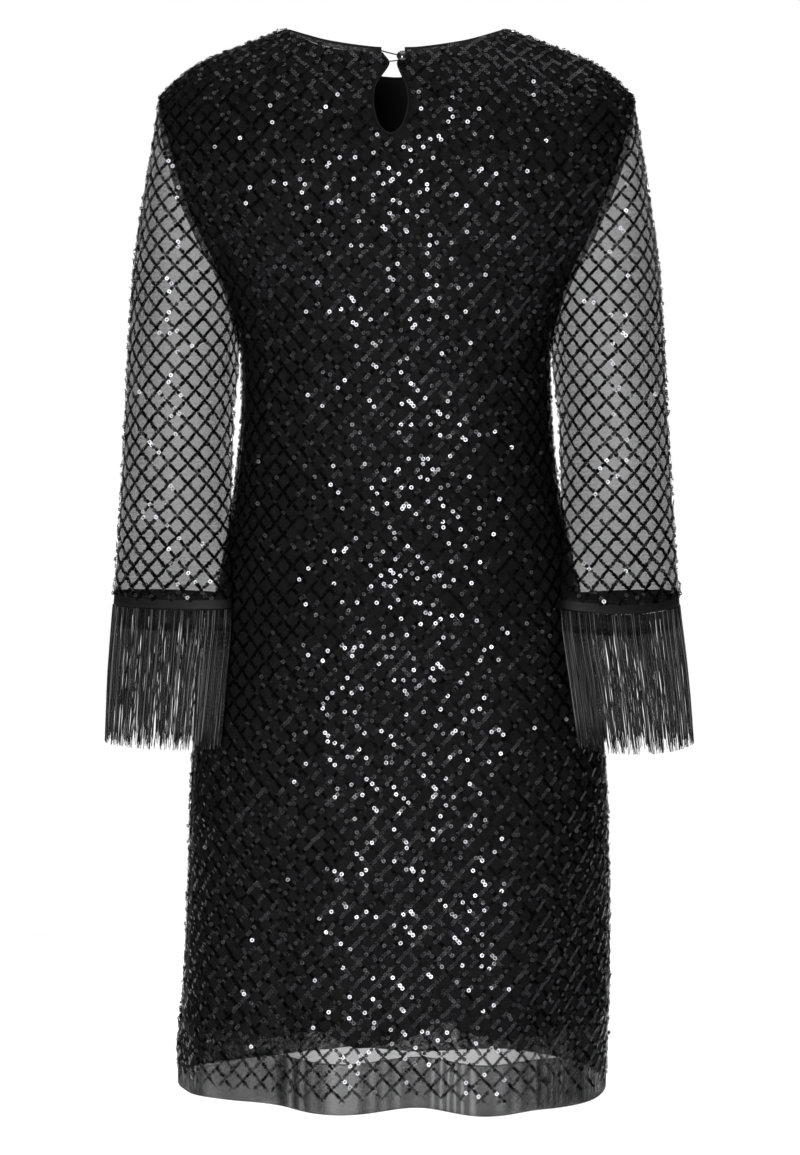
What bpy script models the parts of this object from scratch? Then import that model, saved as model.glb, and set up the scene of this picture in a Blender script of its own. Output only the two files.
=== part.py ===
"""Party dress with net sleeves and fringed cuffs, worn and hollow.

The origin is midway between the two neck points, the tops of the shoulder seams.
The dress hangs below it, faces -Y, and has the wearer's left at +X. Metres, +Z up.
"""
import math
import random
from collections import namedtuple

import bmesh
import bpy
from mathutils import Vector

# Sizes of the cloth and its seams
NET_WALL = 0.0010
LINING_WALL = 0.0010
SEAM = 0.0007
EDGE_ROW = 0.0016
LINING_DROP_TOP = 0.0016
LINING_DROP_HEM = 0.0060
SECTION_POWER = 2.3

# Heights that part the body
UNDERARM_Z = -0.266
HEM_Z = -0.920
ROOF_START = {"back": -0.130, "front": -0.140}
SIDE_SIGN = {"back": 1.0, "front": -1.0}

# Neck
NECK_HALF_WIDTH = 0.097
BINDING_RADIUS = 0.0011
BINDING_GAP = 0.0005
KEYHOLE_BINDING_GAP = 0.0007
KEYHOLE_STEPS = 16
KEYHOLE_BINDING_TOP = -0.0240
KEYHOLE_FOOT = 0.0014
CUTTER_NEAR = 0.030
CUTTER_FAR = 0.160
CUTTER_LIFT = 0.030

# Sleeve, ribbon and fringe
ARMHOLE_DEPTH = 0.200
SLEEVE_END_Z = -0.4865
BAND_HEIGHT = 0.0120
BAND_WALL = 0.0010
BAND_GAP = 0.0009
STRIP_WALL = 0.0012
STRIP_HEIGHT = 0.0060
FRINGE_LENGTH = 0.1080
FRINGE_STRANDS = 100
STRAND_TAPER = 0.60
STRAND_UNEVEN = 0.0050
STRAND_SWAY_TURN = 0.0150
SLEEVE_BLEND = 0.42
CUFF_DIP = {"left": 0.0010, "right": 0.0045}

# Button and loop
BUTTON_X = -0.0070
BUTTON_Z = -0.0282
BUTTON_RADIUS = 0.0050
SHANK_RADIUS = 0.0013
SHANK_HEIGHT = 0.0024
LOOP_RADIUS = 0.00055
LOOP_GAP = 0.0004

# How finely the pieces are divided
NECK_COLUMNS = 6
SHOULDER_COLUMNS = 4
YOKE_ROWS = 7
NET_SKIRT_ROWS = 11
LINING_SKIRT_ROWS = 8
SLEEVE_SIDES = 20
SLEEVE_ROWS = 11
BAND_SIDES = 24
BUTTON_STEPS = 20
LOOP_STEPS = 4
PROFILE_STEPS = 120
TURN_STEPS = 720
SLOPE_STEP = 0.0020
CREST_STEP = 0.00003

# One row for each level of the body, from the shoulders to the hem. Edge is the angle, in
# degrees round from the middle, at which a panel ends: the armhole, then the side seam
Level = namedtuple("Level", "z width edge back front sway")
LEVELS = [
    Level(0.030, 0.225, 65.7, 0.100, 0.104, -0.002),
    Level(-0.058, 0.225, 65.7, 0.104, 0.106, -0.002),
    Level(-0.101, 0.213, 65.7, 0.107, 0.112, -0.002),
    Level(-0.150, 0.195, 66.0, 0.108, 0.120, -0.001),
    Level(-0.176, 0.182, 67.0, 0.107, 0.124, -0.001),
    Level(-0.199, 0.166, 69.4, 0.106, 0.127, -0.001),
    Level(-0.229, 0.149, 75.5, 0.103, 0.128, -0.001),
    Level(-0.266, 0.136, 90.0, 0.099, 0.126, -0.001),
    Level(-0.323, 0.134, 90.0, 0.093, 0.118, -0.002),
    Level(-0.384, 0.139, 90.0, 0.093, 0.112, -0.002),
    Level(-0.450, 0.150, 90.0, 0.102, 0.112, -0.003),
    Level(-0.520, 0.164, 90.0, 0.114, 0.114, -0.004),
    Level(-0.628, 0.179, 90.0, 0.121, 0.117, -0.004),
    Level(-0.733, 0.183, 90.0, 0.124, 0.119, -0.004),
    Level(-0.837, 0.186, 90.0, 0.125, 0.120, -0.002),
    Level(-0.872, 0.187, 90.0, 0.126, 0.121, 0.001),
    Level(-0.930, 0.187, 90.0, 0.126, 0.121, 0.002),
]

# Height of the shoulder line, and of the dome that the neck edge is cut from
Crown = namedtuple("Crown", "x z")
CROWN = [
    Crown(0.000, 0.025),
    Crown(0.040, 0.020),
    Crown(0.070, 0.011),
    Crown(0.097, 0.000),
    Crown(0.141, -0.017),
    Crown(0.170, -0.029),
    Crown(0.188, -0.042),
    Crown(0.206, -0.058),
]

# Height of the neck edge
Neck = namedtuple("Neck", "x back front")
NECK = [
    Neck(0.000, -0.0205, -0.0385),
    Neck(0.020, -0.0198, -0.0362),
    Neck(0.057, -0.0138, -0.0235),
    Neck(0.080, -0.0068, -0.0100),
    Neck(0.097, 0.0000, 0.0000),
]

# Soft flutes of the net skirt. Place runs from -1 at the right seam to 1 at the left
Fold = namedtuple("Fold", "side place depth reach top")
NET_FOLDS = [
    Fold("back", 0.18, 0.0070, 0.17, -0.560),
    Fold("back", -0.33, 0.0080, 0.18, -0.600),
    Fold("back", -0.06, -0.0050, 0.13, -0.640),
    Fold("back", 0.40, -0.0050, 0.16, -0.620),
    Fold("back", -0.62, -0.0050, 0.17, -0.580),
    Fold("back", 0.68, 0.0040, 0.15, -0.540),
    Fold("front", -0.24, 0.0075, 0.18, -0.580),
    Fold("front", 0.30, 0.0065, 0.16, -0.540),
    Fold("front", 0.03, -0.0050, 0.14, -0.620),
    Fold("front", -0.52, -0.0050, 0.16, -0.560),
    Fold("front", 0.60, -0.0045, 0.17, -0.640),
]
LINING_FOLDS = [
    Fold("back", 0.12, 0.0020, 0.16, -0.660),
    Fold("back", -0.17, -0.0080, 0.14, -0.700),
    Fold("back", 0.26, -0.0060, 0.12, -0.720),
    Fold("back", -0.42, 0.0015, 0.16, -0.640),
    Fold("back", -0.64, -0.0060, 0.16, -0.680),
    Fold("front", 0.20, -0.0070, 0.15, -0.680),
    Fold("front", -0.10, 0.0010, 0.14, -0.660),
    Fold("front", -0.36, -0.0070, 0.15, -0.720),
    Fold("front", 0.56, -0.0060, 0.16, -0.640),
]

# Heights of the net's and the lining's edges, which wave
Hem = namedtuple("Hem", "x back front")
NET_HEM = [
    Hem(-0.187, -0.9195, -0.9195),
    Hem(-0.160, -0.9225, -0.9160),
    Hem(-0.115, -0.9185, -0.9140),
    Hem(-0.070, -0.9195, -0.9185),
    Hem(-0.025, -0.9130, -0.9200),
    Hem(0.030, -0.9170, -0.9150),
    Hem(0.062, -0.9165, -0.9180),
    Hem(0.100, -0.9135, -0.9210),
    Hem(0.160, -0.9135, -0.9180),
    Hem(0.187, -0.9160, -0.9160),
]
LINING_HEM = [
    Hem(-0.180, -0.856, -0.858),
    Hem(-0.119, -0.857, -0.851),
    Hem(-0.075, -0.856, -0.846),
    Hem(-0.044, -0.842, -0.855),
    Hem(-0.018, -0.852, -0.861),
    Hem(0.030, -0.862, -0.859),
    Hem(0.066, -0.850, -0.848),
    Hem(0.100, -0.856, -0.852),
    Hem(0.130, -0.860, -0.860),
    Hem(0.180, -0.858, -0.858),
]

# One row for each level of a sleeve. Out and back say how much further the right one hangs
Arm = namedtuple("Arm", "z outer inner centre_y half_depth yaw out back")
ARM_LEVELS = [
    Arm(-0.040, 0.2030, 0.1650, 0.000, 0.030, 0.0, 0.003, 0.000),
    Arm(-0.058, 0.2050, 0.1600, 0.000, 0.034, 0.0, 0.003, 0.000),
    Arm(-0.101, 0.2110, 0.1530, 0.000, 0.048, 0.0, 0.004, 0.000),
    Arm(-0.150, 0.2185, 0.1470, 0.000, 0.055, 0.0, 0.004, 0.000),
    Arm(-0.200, 0.2255, 0.1420, 0.000, 0.056, 0.0, 0.004, 0.000),
    Arm(-0.266, 0.2300, 0.1385, 0.003, 0.053, 0.0, 0.004, 0.000),
    Arm(-0.323, 0.2325, 0.1390, 0.007, 0.048, 4.0, 0.004, 0.000),
    Arm(-0.384, 0.2350, 0.1410, 0.015, 0.041, 11.0, 0.004, 0.001),
    Arm(-0.450, 0.2380, 0.1410, 0.034, 0.031, 21.0, 0.004, 0.004),
    Arm(-0.500, 0.2415, 0.1395, 0.048, 0.024, 26.0, 0.004, 0.007),
    Arm(-0.560, 0.2440, 0.1445, 0.062, 0.025, 27.0, 0.007, 0.006),
    Arm(-0.630, 0.2465, 0.1500, 0.078, 0.027, 27.0, 0.010, 0.004),
]

# Edge of the keyhole, from the neck down to its foot
Keyhole = namedtuple("Keyhole", "z half_width centre")
KEYHOLE = [
    Keyhole(-0.012, 0.0098, 0.0004),
    Keyhole(-0.020, 0.0092, 0.0004),
    Keyhole(-0.026, 0.0074, 0.0003),
    Keyhole(-0.031, 0.0062, 0.0006),
    Keyhole(-0.036, 0.0076, 0.0014),
    Keyhole(-0.044, 0.0112, 0.0022),
    Keyhole(-0.055, 0.0143, 0.0026),
    Keyhole(-0.068, 0.0154, 0.0028),
    Keyhole(-0.080, 0.0138, 0.0029),
    Keyhole(-0.088, 0.0100, 0.0029),
    Keyhole(-0.0935, 0.0050, 0.0028),
]

# Outline of the button from its dome to the foot of its shank
Turned = namedtuple("Turned", "radius height")
BUTTON_PROFILE = [
    Turned(0.0, SHANK_HEIGHT + 0.0050),
    Turned(0.0020, SHANK_HEIGHT + 0.0047),
    Turned(0.0037, SHANK_HEIGHT + 0.0037),
    Turned(0.0047, SHANK_HEIGHT + 0.0022),
    Turned(BUTTON_RADIUS, SHANK_HEIGHT + 0.0012),
    Turned(0.0047, SHANK_HEIGHT + 0.0004),
    Turned(0.0037, SHANK_HEIGHT),
    Turned(SHANK_RADIUS, SHANK_HEIGHT),
    Turned(SHANK_RADIUS, 0.0),
    Turned(0.0, 0.0),
]

# Where the loop's two ends are sewn down, and where its bend round the shank starts and ends
Sewn = namedtuple("Sewn", "x z turn")
LOOP_ENDS = [Sewn(0.0112, -0.0235, 66.0), Sewn(0.0085, -0.0325, 294.0)]

BLACK_NET = ("sequinned_net", (0.012, 0.012, 0.013), 0.45, 0.0)
BLACK_JERSEY = ("lining_jersey", (0.010, 0.010, 0.010), 0.85, 0.0)
BLACK_RIBBON = ("cuff_ribbon", (0.014, 0.014, 0.015), 0.55, 0.0)
FRINGE_CORD = ("fringe_cord", (0.030, 0.030, 0.032), 0.40, 0.0)
BLACK_GLOSS = ("button_gloss", (0.008, 0.008, 0.008), 0.08, 0.0)
LOOP_CORD = ("loop_cord", (0.012, 0.012, 0.012), 0.60, 0.0)


def along(rows, axis, column, value):
    """Read one column of a table on a smooth curve through its rows."""
    places = [getattr(row, axis) for row in rows]
    values = [getattr(row, column) for row in rows]
    if places[0] > places[-1]:
        places.reverse()
        values.reverse()
    value = min(max(value, places[0]), places[-1])
    slopes = []
    for i in range(len(places)):
        low = max(i - 1, 0)
        high = min(i + 1, len(places) - 1)
        slopes.append((values[high] - values[low]) / (places[high] - places[low]))
    i = 0
    while i < len(places) - 2 and value > places[i + 1]:
        i += 1
    step = places[i + 1] - places[i]
    t = (value - places[i]) / step
    start = values[i] * (2 * t**3 - 3 * t**2 + 1) + values[i + 1] * (3 * t**2 - 2 * t**3)
    bend = slopes[i] * (t**3 - 2 * t**2 + t) + slopes[i + 1] * (t**3 - t**2)
    return start + step * bend


def ease(value):
    """Smooth step from 0 to 1."""
    value = min(max(value, 0.0), 1.0)
    return value * value * (3.0 - 2.0 * value)


def edge_angle(z):
    """Angle round the body at which a panel ends: the armhole, then the side seam."""
    if z <= UNDERARM_Z:
        return math.pi / 2
    return math.radians(along(LEVELS, "z", "edge", z))


def reach(place, z):
    """How far a column of a panel lies from the body's middle, at one height."""
    return along(LEVELS, "z", "width", z) * math.sin(place * edge_angle(z))


def place_at(distance, z):
    """The column at a distance from the body's middle, from -1 to 1."""
    return math.asin(distance / along(LEVELS, "z", "width", z)) / edge_angle(z)


def place_across(x, z):
    """The column that passes through a point of the panel."""
    return place_at(x - along(LEVELS, "z", "sway", z), z)


def crown(place, z):
    """Height of the shoulder line above one point of a column."""
    return along(CROWN, "x", "z", abs(reach(place, z)))


def column_top(side, place):
    """Height at which a column starts: the neck edge or the shoulder seam."""
    distance = abs(reach(place, 0.0))
    if distance < NECK_HALF_WIDTH:
        return along(NECK, "x", side, distance)
    z = crown(place, 0.0)
    for _ in range(8):
        z = crown(place, z)
    return z


def fold_depth(folds, side, place, z, foot):
    """How far the soft flutes push the cloth out at one point."""
    depth = 0.0
    for fold in folds:
        away = abs(place - fold.place) / fold.reach
        if fold.side == side and away < 1.0:
            swell = 0.5 + 0.5 * math.cos(math.pi * away)
            depth += fold.depth * swell * ease((fold.top - z) / (fold.top - foot))
    return depth


def body_point(side, place, z, folds=(), foot=HEM_Z):
    """A point of the body's surface, on a column and at a height."""
    width = along(LEVELS, "z", "width", z)
    depth = along(LEVELS, "z", side, z)
    angle = place * edge_angle(z)
    across = math.sin(angle)
    round_off = max(0.0, 1.0 - abs(across) ** SECTION_POWER) ** (1.0 / SECTION_POWER)
    roof = 1.0
    start = ROOF_START[side]
    if z > start:
        top = crown(place, z)
        share = min((z - start) / (top - start), 1.0)
        roof = math.sqrt(1.0 - share * share)
    push = fold_depth(folds, side, place, z, foot)
    away = Vector((across / width, round_off * roof / depth)).normalized()
    x = along(LEVELS, "z", "sway", z) + width * across + push * away.x
    y = depth * round_off * roof + push * away.y + SEAM / 2
    return Vector((x, SIDE_SIGN[side] * y, z))


def body_normal(side, place, z, folds=(), foot=HEM_Z):
    """Outward direction of the body's surface at a point."""
    inner = place - math.copysign(SLOPE_STEP, place)
    lower = z - (CREST_STEP if z > ROOF_START[side] else SLOPE_STEP)
    here = body_point(side, place, z, folds, foot)
    down = body_point(side, place, lower, folds, foot) - here
    across = body_point(side, inner, z, folds, foot) - here
    normal = across.cross(down).normalized() * SIDE_SIGN[side]
    return normal if place < 0 else -normal


def column_profile(side, place, rows, foot, folds=(), drop=None, edge=EDGE_ROW):
    """Points down one column, evenly spaced above and below the underarm.

    A narrow first row, edge deep, keeps the wall square to its seam.
    """
    top = column_top(side, place)
    start = ROOF_START[side]
    crest = max(crown(place, 0.0), top)
    first = math.acos(min((top - start) / (crest - start), 1.0))
    heights = []
    for i in range(PROFILE_STEPS + 1):
        angle = first + (math.pi / 2 - first) * i / PROFILE_STEPS
        heights.append(start + (crest - start) * math.cos(angle))
    for i in range(1, PROFILE_STEPS + 1):
        heights.append(start + (UNDERARM_Z - start) * i / PROFILE_STEPS)
    yoke = [inset_point(side, place, z, folds, foot, drop) for z in heights]
    lengths = [0.0]
    for before, after in zip(yoke, yoke[1:]):
        lengths.append(lengths[-1] + (after - before).length)
    above, below = rows
    goals = [edge + (lengths[-1] - edge) * row / above for row in range(above + 1)]
    if edge > 0.0:
        goals.insert(0, 0.0)
    points = []
    i = 0
    for goal in goals:
        while i < len(lengths) - 2 and lengths[i + 1] < goal:
            i += 1
        span = max(lengths[i + 1] - lengths[i], 1e-9)
        points.append(yoke[i].lerp(yoke[i + 1], min(1.0, (goal - lengths[i]) / span)))
    for row in range(1, below + 1):
        z = UNDERARM_Z + (foot - UNDERARM_Z) * row / below
        points.append(inset_point(side, place, z, folds, foot, drop))
    return points


def inset_point(side, place, z, folds, foot, drop):
    """A point of a panel, moved inward from the body's surface by drop[0] to drop[1]."""
    point = body_point(side, place, z, folds, foot)
    if drop is None:
        return point
    share = ease((0.0 - z) / (0.0 - foot))
    depth = drop[0] + (drop[1] - drop[0]) * share
    return point - body_normal(side, place, z, folds, foot) * depth


def panel_places():
    """Columns of a panel from the right edge to the left, with one at each neck point."""
    neck = place_at(NECK_HALF_WIDTH, 0.0)
    last = 1.0 - EDGE_ROW / ARMHOLE_DEPTH
    half = [neck * i / NECK_COLUMNS for i in range(NECK_COLUMNS)]
    half += [neck + (last - neck) * i / SHOULDER_COLUMNS for i in range(SHOULDER_COLUMNS + 1)]
    half.append(1.0)
    return [-place for place in reversed(half[1:])] + half


def material(finish):
    """The Principled material of one finish, made once."""
    name, colour, roughness, metallic = finish
    made = bpy.data.materials.get(name)
    if made is None:
        made = bpy.data.materials.new(name)
        made.use_nodes = True
        shader = made.node_tree.nodes["Principled BSDF"]
        shader.inputs["Base Color"].default_value = (*colour, 1.0)
        shader.inputs["Roughness"].default_value = roughness
        shader.inputs["Metallic"].default_value = metallic
    return made


def add_object(name, mesh, finish, collection):
    """Put a finished mesh into the model as one named sub-part."""
    if finish is not None:
        mesh.materials.append(material(finish))
    item = bpy.data.objects.new(name, mesh)
    collection.objects.link(item)
    mesh.shade_smooth()
    return item


def surface_mesh(name, rows, closed):
    """Open surface through rows of points, its faces pointing to their left side."""
    bm = bmesh.new()
    grid = [[bm.verts.new(point) for point in row] for row in rows]
    last = len(grid[0]) if closed else len(grid[0]) - 1
    for upper, lower in zip(grid, grid[1:]):
        for i in range(last):
            j = (i + 1) % len(upper)
            bm.faces.new((upper[i], lower[i], lower[j], upper[j]))
    mesh = bpy.data.meshes.new(name)
    bm.to_mesh(mesh)
    bm.free()
    return mesh


def thicken(item, wall):
    """Turn an open surface into a wall that lies inside it."""
    modifier = item.modifiers.new("wall", "SOLIDIFY")
    modifier.thickness = wall
    modifier.offset = -1.0


def cut(item, cutter):
    """Cut an opening through a wall."""
    modifier = item.modifiers.new("opening", "BOOLEAN")
    modifier.operation = "DIFFERENCE"
    modifier.object = cutter


def build_panel(name, side, finish, wall, skirt_rows, hem, folds, drop, parts):
    """One panel of the body, from neck and shoulder down to its hem."""
    profiles = []
    for place in panel_places():
        foot = along(hem, "x", side, reach(place, HEM_Z))
        rows = (YOKE_ROWS, skirt_rows)
        profiles.append(column_profile(side, place, rows, foot, folds, drop))
    if side == "back":
        profiles.reverse()
    rows_of_points = [list(row) for row in zip(*profiles)]
    item = add_object(name, surface_mesh(name, rows_of_points, False), finish, parts)
    thicken(item, wall)
    return item


def keyhole_outline(inset):
    """Points of the keyhole's edge in X and Z, down the left side and up the right."""
    left = []
    right = []
    top = KEYHOLE[0].z
    foot = KEYHOLE[-1].z
    for i in range(KEYHOLE_STEPS + 1):
        z = top + (foot - top) * i / KEYHOLE_STEPS
        half = along(KEYHOLE, "z", "half_width", z)
        middle = along(KEYHOLE, "z", "centre", z)
        left.append(Vector((middle + half, z)))
        right.append(Vector((middle - half, z)))
    tip = Vector((KEYHOLE[-1].centre, foot - KEYHOLE_FOOT))
    edge = left + [tip] + right[::-1]
    moved = []
    for i, point in enumerate(edge):
        run = edge[min(i + 1, len(edge) - 1)] - edge[max(i - 1, 0)]
        moved.append(point + Vector((run.y, -run.x)).normalized() * inset)
    return moved


def build_keyhole_cutter(cutters):
    """Prism with the keyhole's outline, through the back of the neck only."""
    outline = keyhole_outline(0.0)
    points = [(outline[0][0], outline[0][1] + CUTTER_LIFT)] + outline
    points.append((outline[-1][0], outline[-1][1] + CUTTER_LIFT))
    bm = bmesh.new()
    face = bm.faces.new([bm.verts.new((x, CUTTER_NEAR, z)) for x, z in points])
    grown = bmesh.ops.extrude_face_region(bm, geom=[face])
    moved = [item for item in grown["geom"] if isinstance(item, bmesh.types.BMVert)]
    bmesh.ops.translate(bm, verts=moved, vec=(0.0, CUTTER_FAR - CUTTER_NEAR, 0.0))
    bmesh.ops.recalc_face_normals(bm, faces=bm.faces)
    mesh = bpy.data.meshes.new("keyhole_cutter")
    bm.to_mesh(mesh)
    bm.free()
    cutter = add_object("keyhole_cutter", mesh, None, cutters)
    cutter.hide_render = True
    cutter.display_type = "WIRE"
    return cutter


def armhole_loop(rows):
    """Places round an armhole: from the shoulder down the back and up the front."""
    loop = []
    for side in ("back", "front"):
        profile = column_profile(side, 1.0, (rows, 1), HEM_Z, edge=0.0)
        heights = [point.z for point in profile[: rows + 1]]
        if side == "front":
            heights.reverse()
            heights = heights[1:-1]
        loop += [(side, z) for z in heights]
    return loop


def sleeve_ring(side, turn, z, inset=0.0):
    """A point of the sleeve's level oval. Turn 0 is outermost, then it goes round the back."""
    extra = 1.0 if side == "right" else 0.0
    outer = along(ARM_LEVELS, "z", "outer", z) + extra * along(ARM_LEVELS, "z", "out", z)
    inner = along(ARM_LEVELS, "z", "inner", z) + extra * along(ARM_LEVELS, "z", "out", z)
    centre_y = along(ARM_LEVELS, "z", "centre_y", z) + extra * along(ARM_LEVELS, "z", "back", z)
    yaw = math.radians(along(ARM_LEVELS, "z", "yaw", z))
    long_half = (outer - inner) / (2.0 * math.cos(yaw)) - inset
    short_half = along(ARM_LEVELS, "z", "half_depth", z) - inset
    out = long_half * math.cos(turn)
    back = short_half * math.sin(turn)
    x = (outer + inner) / 2.0 + out * math.cos(yaw) + back * math.sin(yaw)
    y = centre_y - out * math.sin(yaw) + back * math.cos(yaw)
    return Vector((x, y, z))


def cuff_z(side, turn):
    """How much lower the sleeve's end hangs at the back."""
    return -CUFF_DIP[side] * max(0.0, math.sin(turn)) ** 2


def build_sleeve(side, parts):
    """A sleeve: a tube from the armhole to the ribbon."""
    sign = 1.0 if side == "left" else -1.0
    loop = armhole_loop(SLEEVE_SIDES // 2)
    count = len(loop)
    rows = []
    for row in range(SLEEVE_ROWS + 1):
        share = row / SLEEVE_ROWS
        ring = []
        for i, (panel, z) in enumerate(loop):
            turn = 2.0 * math.pi * i / count
            seam = body_point(panel, sign, z)
            seam.x = sign * seam.x + SEAM + NET_WALL
            end_z = SLEEVE_END_Z + cuff_z(side, turn)
            level = z + (end_z - z) * share
            point = sleeve_ring(side, turn, level)
            fade = 1.0 - ease(share / SLEEVE_BLEND)
            point += (seam - sleeve_ring(side, turn, z)) * fade
            ring.append(Vector((sign * point.x, point.y, level)))
        rows.append(ring if side == "left" else ring[::-1])
    name = "sleeve_" + side
    item = add_object(name, surface_mesh(name, rows, True), BLACK_NET, parts)
    thicken(item, NET_WALL)
    return item


def even_turns(side, z, inset, count):
    """Turns that divide the sleeve's oval into equal lengths."""
    turns = [2.0 * math.pi * i / TURN_STEPS for i in range(TURN_STEPS + 1)]
    lengths = [0.0]
    for before, after in zip(turns, turns[1:]):
        gap = sleeve_ring(side, after, z, inset) - sleeve_ring(side, before, z, inset)
        lengths.append(lengths[-1] + gap.length)
    even = []
    i = 0
    for step in range(count):
        goal = lengths[-1] * step / count
        while lengths[i + 1] < goal:
            i += 1
        even.append(turns[i] + (goal - lengths[i]) / (lengths[i + 1] - lengths[i]) * turns[1])
    return even


def build_cuff_band(side, parts):
    """The plain ribbon at the end of a sleeve."""
    sign = 1.0 if side == "left" else -1.0
    top = SLEEVE_END_Z - BAND_GAP
    rows = []
    for z in (top, top - BAND_HEIGHT):
        ring = []
        for i in range(BAND_SIDES):
            turn = 2.0 * math.pi * i / BAND_SIDES
            point = sleeve_ring(side, turn, z)
            ring.append(Vector((sign * point.x, point.y, z + cuff_z(side, turn))))
        rows.append(ring if side == "left" else ring[::-1])
    name = "cuff_band_" + side
    item = add_object(name, surface_mesh(name, rows, True), BLACK_RIBBON, parts)
    thicken(item, BAND_WALL)
    return item


def build_fringe(side, parts):
    """A narrow strip below the ribbon with loose strands grown from its lower face."""
    rng = random.Random(11 if side == "left" else 12)
    sign = 1.0 if side == "left" else -1.0
    top = SLEEVE_END_Z - BAND_HEIGHT - 2 * BAND_GAP
    foot = top - STRIP_HEIGHT
    tip_z = foot - FRINGE_LENGTH
    turns = even_turns(side, top, 0.0, 2 * FRINGE_STRANDS)
    bm = bmesh.new()
    loops = []
    for z, inset in ((top, 0.0), (foot, 0.0), (foot, STRIP_WALL), (top, STRIP_WALL)):
        loop = []
        for turn in turns:
            point = sleeve_ring(side, turn, top, inset)
            loop.append(bm.verts.new((sign * point.x, point.y, z + cuff_z(side, turn))))
        loops.append(loop)
    roots = []
    for k, (upper, lower) in enumerate(zip(loops, loops[1:] + loops[:1])):
        for i in range(len(turns)):
            j = (i + 1) % len(turns)
            face = bm.faces.new((upper[i], lower[i], lower[j], upper[j]))
            if k == 1 and i % 2 == 0:
                roots.append((face, (turns[i] + turns[i + 1]) / 2.0))
    bmesh.ops.recalc_face_normals(bm, faces=bm.faces)
    for face, turn in roots:
        middle = face.calc_center_median()
        goal_turn = turn + rng.uniform(-STRAND_SWAY_TURN, STRAND_SWAY_TURN)
        goal = sleeve_ring(side, goal_turn, tip_z, STRIP_WALL / 2)
        drop = tip_z + rng.uniform(-STRAND_UNEVEN, STRAND_UNEVEN)
        tip = Vector((sign * goal.x, goal.y, drop))
        grown = bmesh.ops.extrude_discrete_faces(bm, faces=[face])["faces"][0]
        for vert in grown.verts:
            vert.co = tip + (vert.co - middle) * STRAND_TAPER
    mesh = bpy.data.meshes.new("fringe_" + side)
    bm.to_mesh(mesh)
    bm.free()
    return add_object("fringe_" + side, mesh, FRINGE_CORD, parts)


def tube(name, points, radius, finish, parts, cyclic=False):
    """A thin round cord through a list of points."""
    curve = bpy.data.curves.new(name, "CURVE")
    curve.dimensions = "3D"
    curve.bevel_depth = radius
    curve.bevel_resolution = 1
    curve.use_fill_caps = True
    spline = curve.splines.new("POLY")
    spline.points.add(len(points) - 1)
    for target, point in zip(spline.points, points):
        target.co = (*point, 1.0)
    spline.use_cyclic_u = cyclic
    curve.materials.append(material(finish))
    item = bpy.data.objects.new(name, curve)
    parts.objects.link(item)
    return item


def neck_edge():
    """Points and outward directions round the neck, from one keyhole corner to the other."""
    neck = place_at(NECK_HALF_WIDTH, 0.0)
    corner = place_at(KEYHOLE[1].half_width, NECK[0].back)
    half = [neck * i / NECK_COLUMNS for i in range(1, NECK_COLUMNS)]
    half = [corner] + half
    ends = [neck]
    stops = [("back", place) for place in half + ends]
    stops += [("front", place) for place in ends + half[:0:-1]]
    stops += [("front", 0.0)]
    stops += [("front", -place) for place in half[1:] + ends]
    stops += [("back", -place) for place in ends + half[::-1]]
    points = []
    normals = []
    for side, place in stops:
        z = column_top(side, place)
        points.append(body_point(side, place, z))
        normals.append(body_normal(side, place, z - EDGE_ROW / 2))
    return points, normals


def build_neck_binding(parts):
    """Rolled edge round the neck, open at the keyhole."""
    points, normals = neck_edge()
    half_depth = (NET_WALL + LINING_DROP_TOP) / 2
    path = []
    for i, (point, normal) in enumerate(zip(points, normals)):
        run = points[min(i + 1, len(points) - 1)] - points[max(i - 1, 0)]
        away = run.cross(normal).normalized()
        if away.dot(Vector((point.x, point.y, -NECK_HALF_WIDTH))) > 0.0:
            away = -away
        path.append(point + away * (BINDING_RADIUS + BINDING_GAP) - normal * half_depth)
    return tube("neck_binding", path, BINDING_RADIUS, LOOP_CORD, parts)


def build_keyhole_binding(parts):
    """Rolled edge down one side of the keyhole and up the other."""
    points = []
    for x, z in keyhole_outline(BINDING_RADIUS + KEYHOLE_BINDING_GAP):
        if z > KEYHOLE_BINDING_TOP:
            continue
        place = place_across(x, z)
        surface = body_point("back", place, z)
        inward = body_normal("back", place, z) * (NET_WALL + LINING_DROP_TOP) / 2
        points.append(surface - inward)
    return tube("keyhole_binding", points, BINDING_RADIUS, LOOP_CORD, parts)


def button_seat():
    """Where the button's shank meets the back, and the way it points."""
    place = place_across(BUTTON_X, BUTTON_Z)
    return body_point("back", place, BUTTON_Z), body_normal("back", place, BUTTON_Z)


def build_button(parts):
    """Domed button on a short shank, turned about its own axis."""
    bm = bmesh.new()
    verts = [bm.verts.new((row.radius, 0.0, row.height)) for row in BUTTON_PROFILE]
    for before, after in zip(verts, verts[1:]):
        bm.edges.new((before, after))
    mesh = bpy.data.meshes.new("button")
    bm.to_mesh(mesh)
    bm.free()
    item = add_object("button", mesh, BLACK_GLOSS, parts)
    seat, normal = button_seat()
    item.location = seat + normal * SEAM
    item.rotation_mode = "QUATERNION"
    item.rotation_quaternion = normal.to_track_quat("Z", "Y")
    turned = item.modifiers.new("turned", "SCREW")
    turned.steps = BUTTON_STEPS
    turned.render_steps = BUTTON_STEPS
    turned.use_merge_vertices = True
    turned.merge_threshold = 0.0000001
    return item


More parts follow.
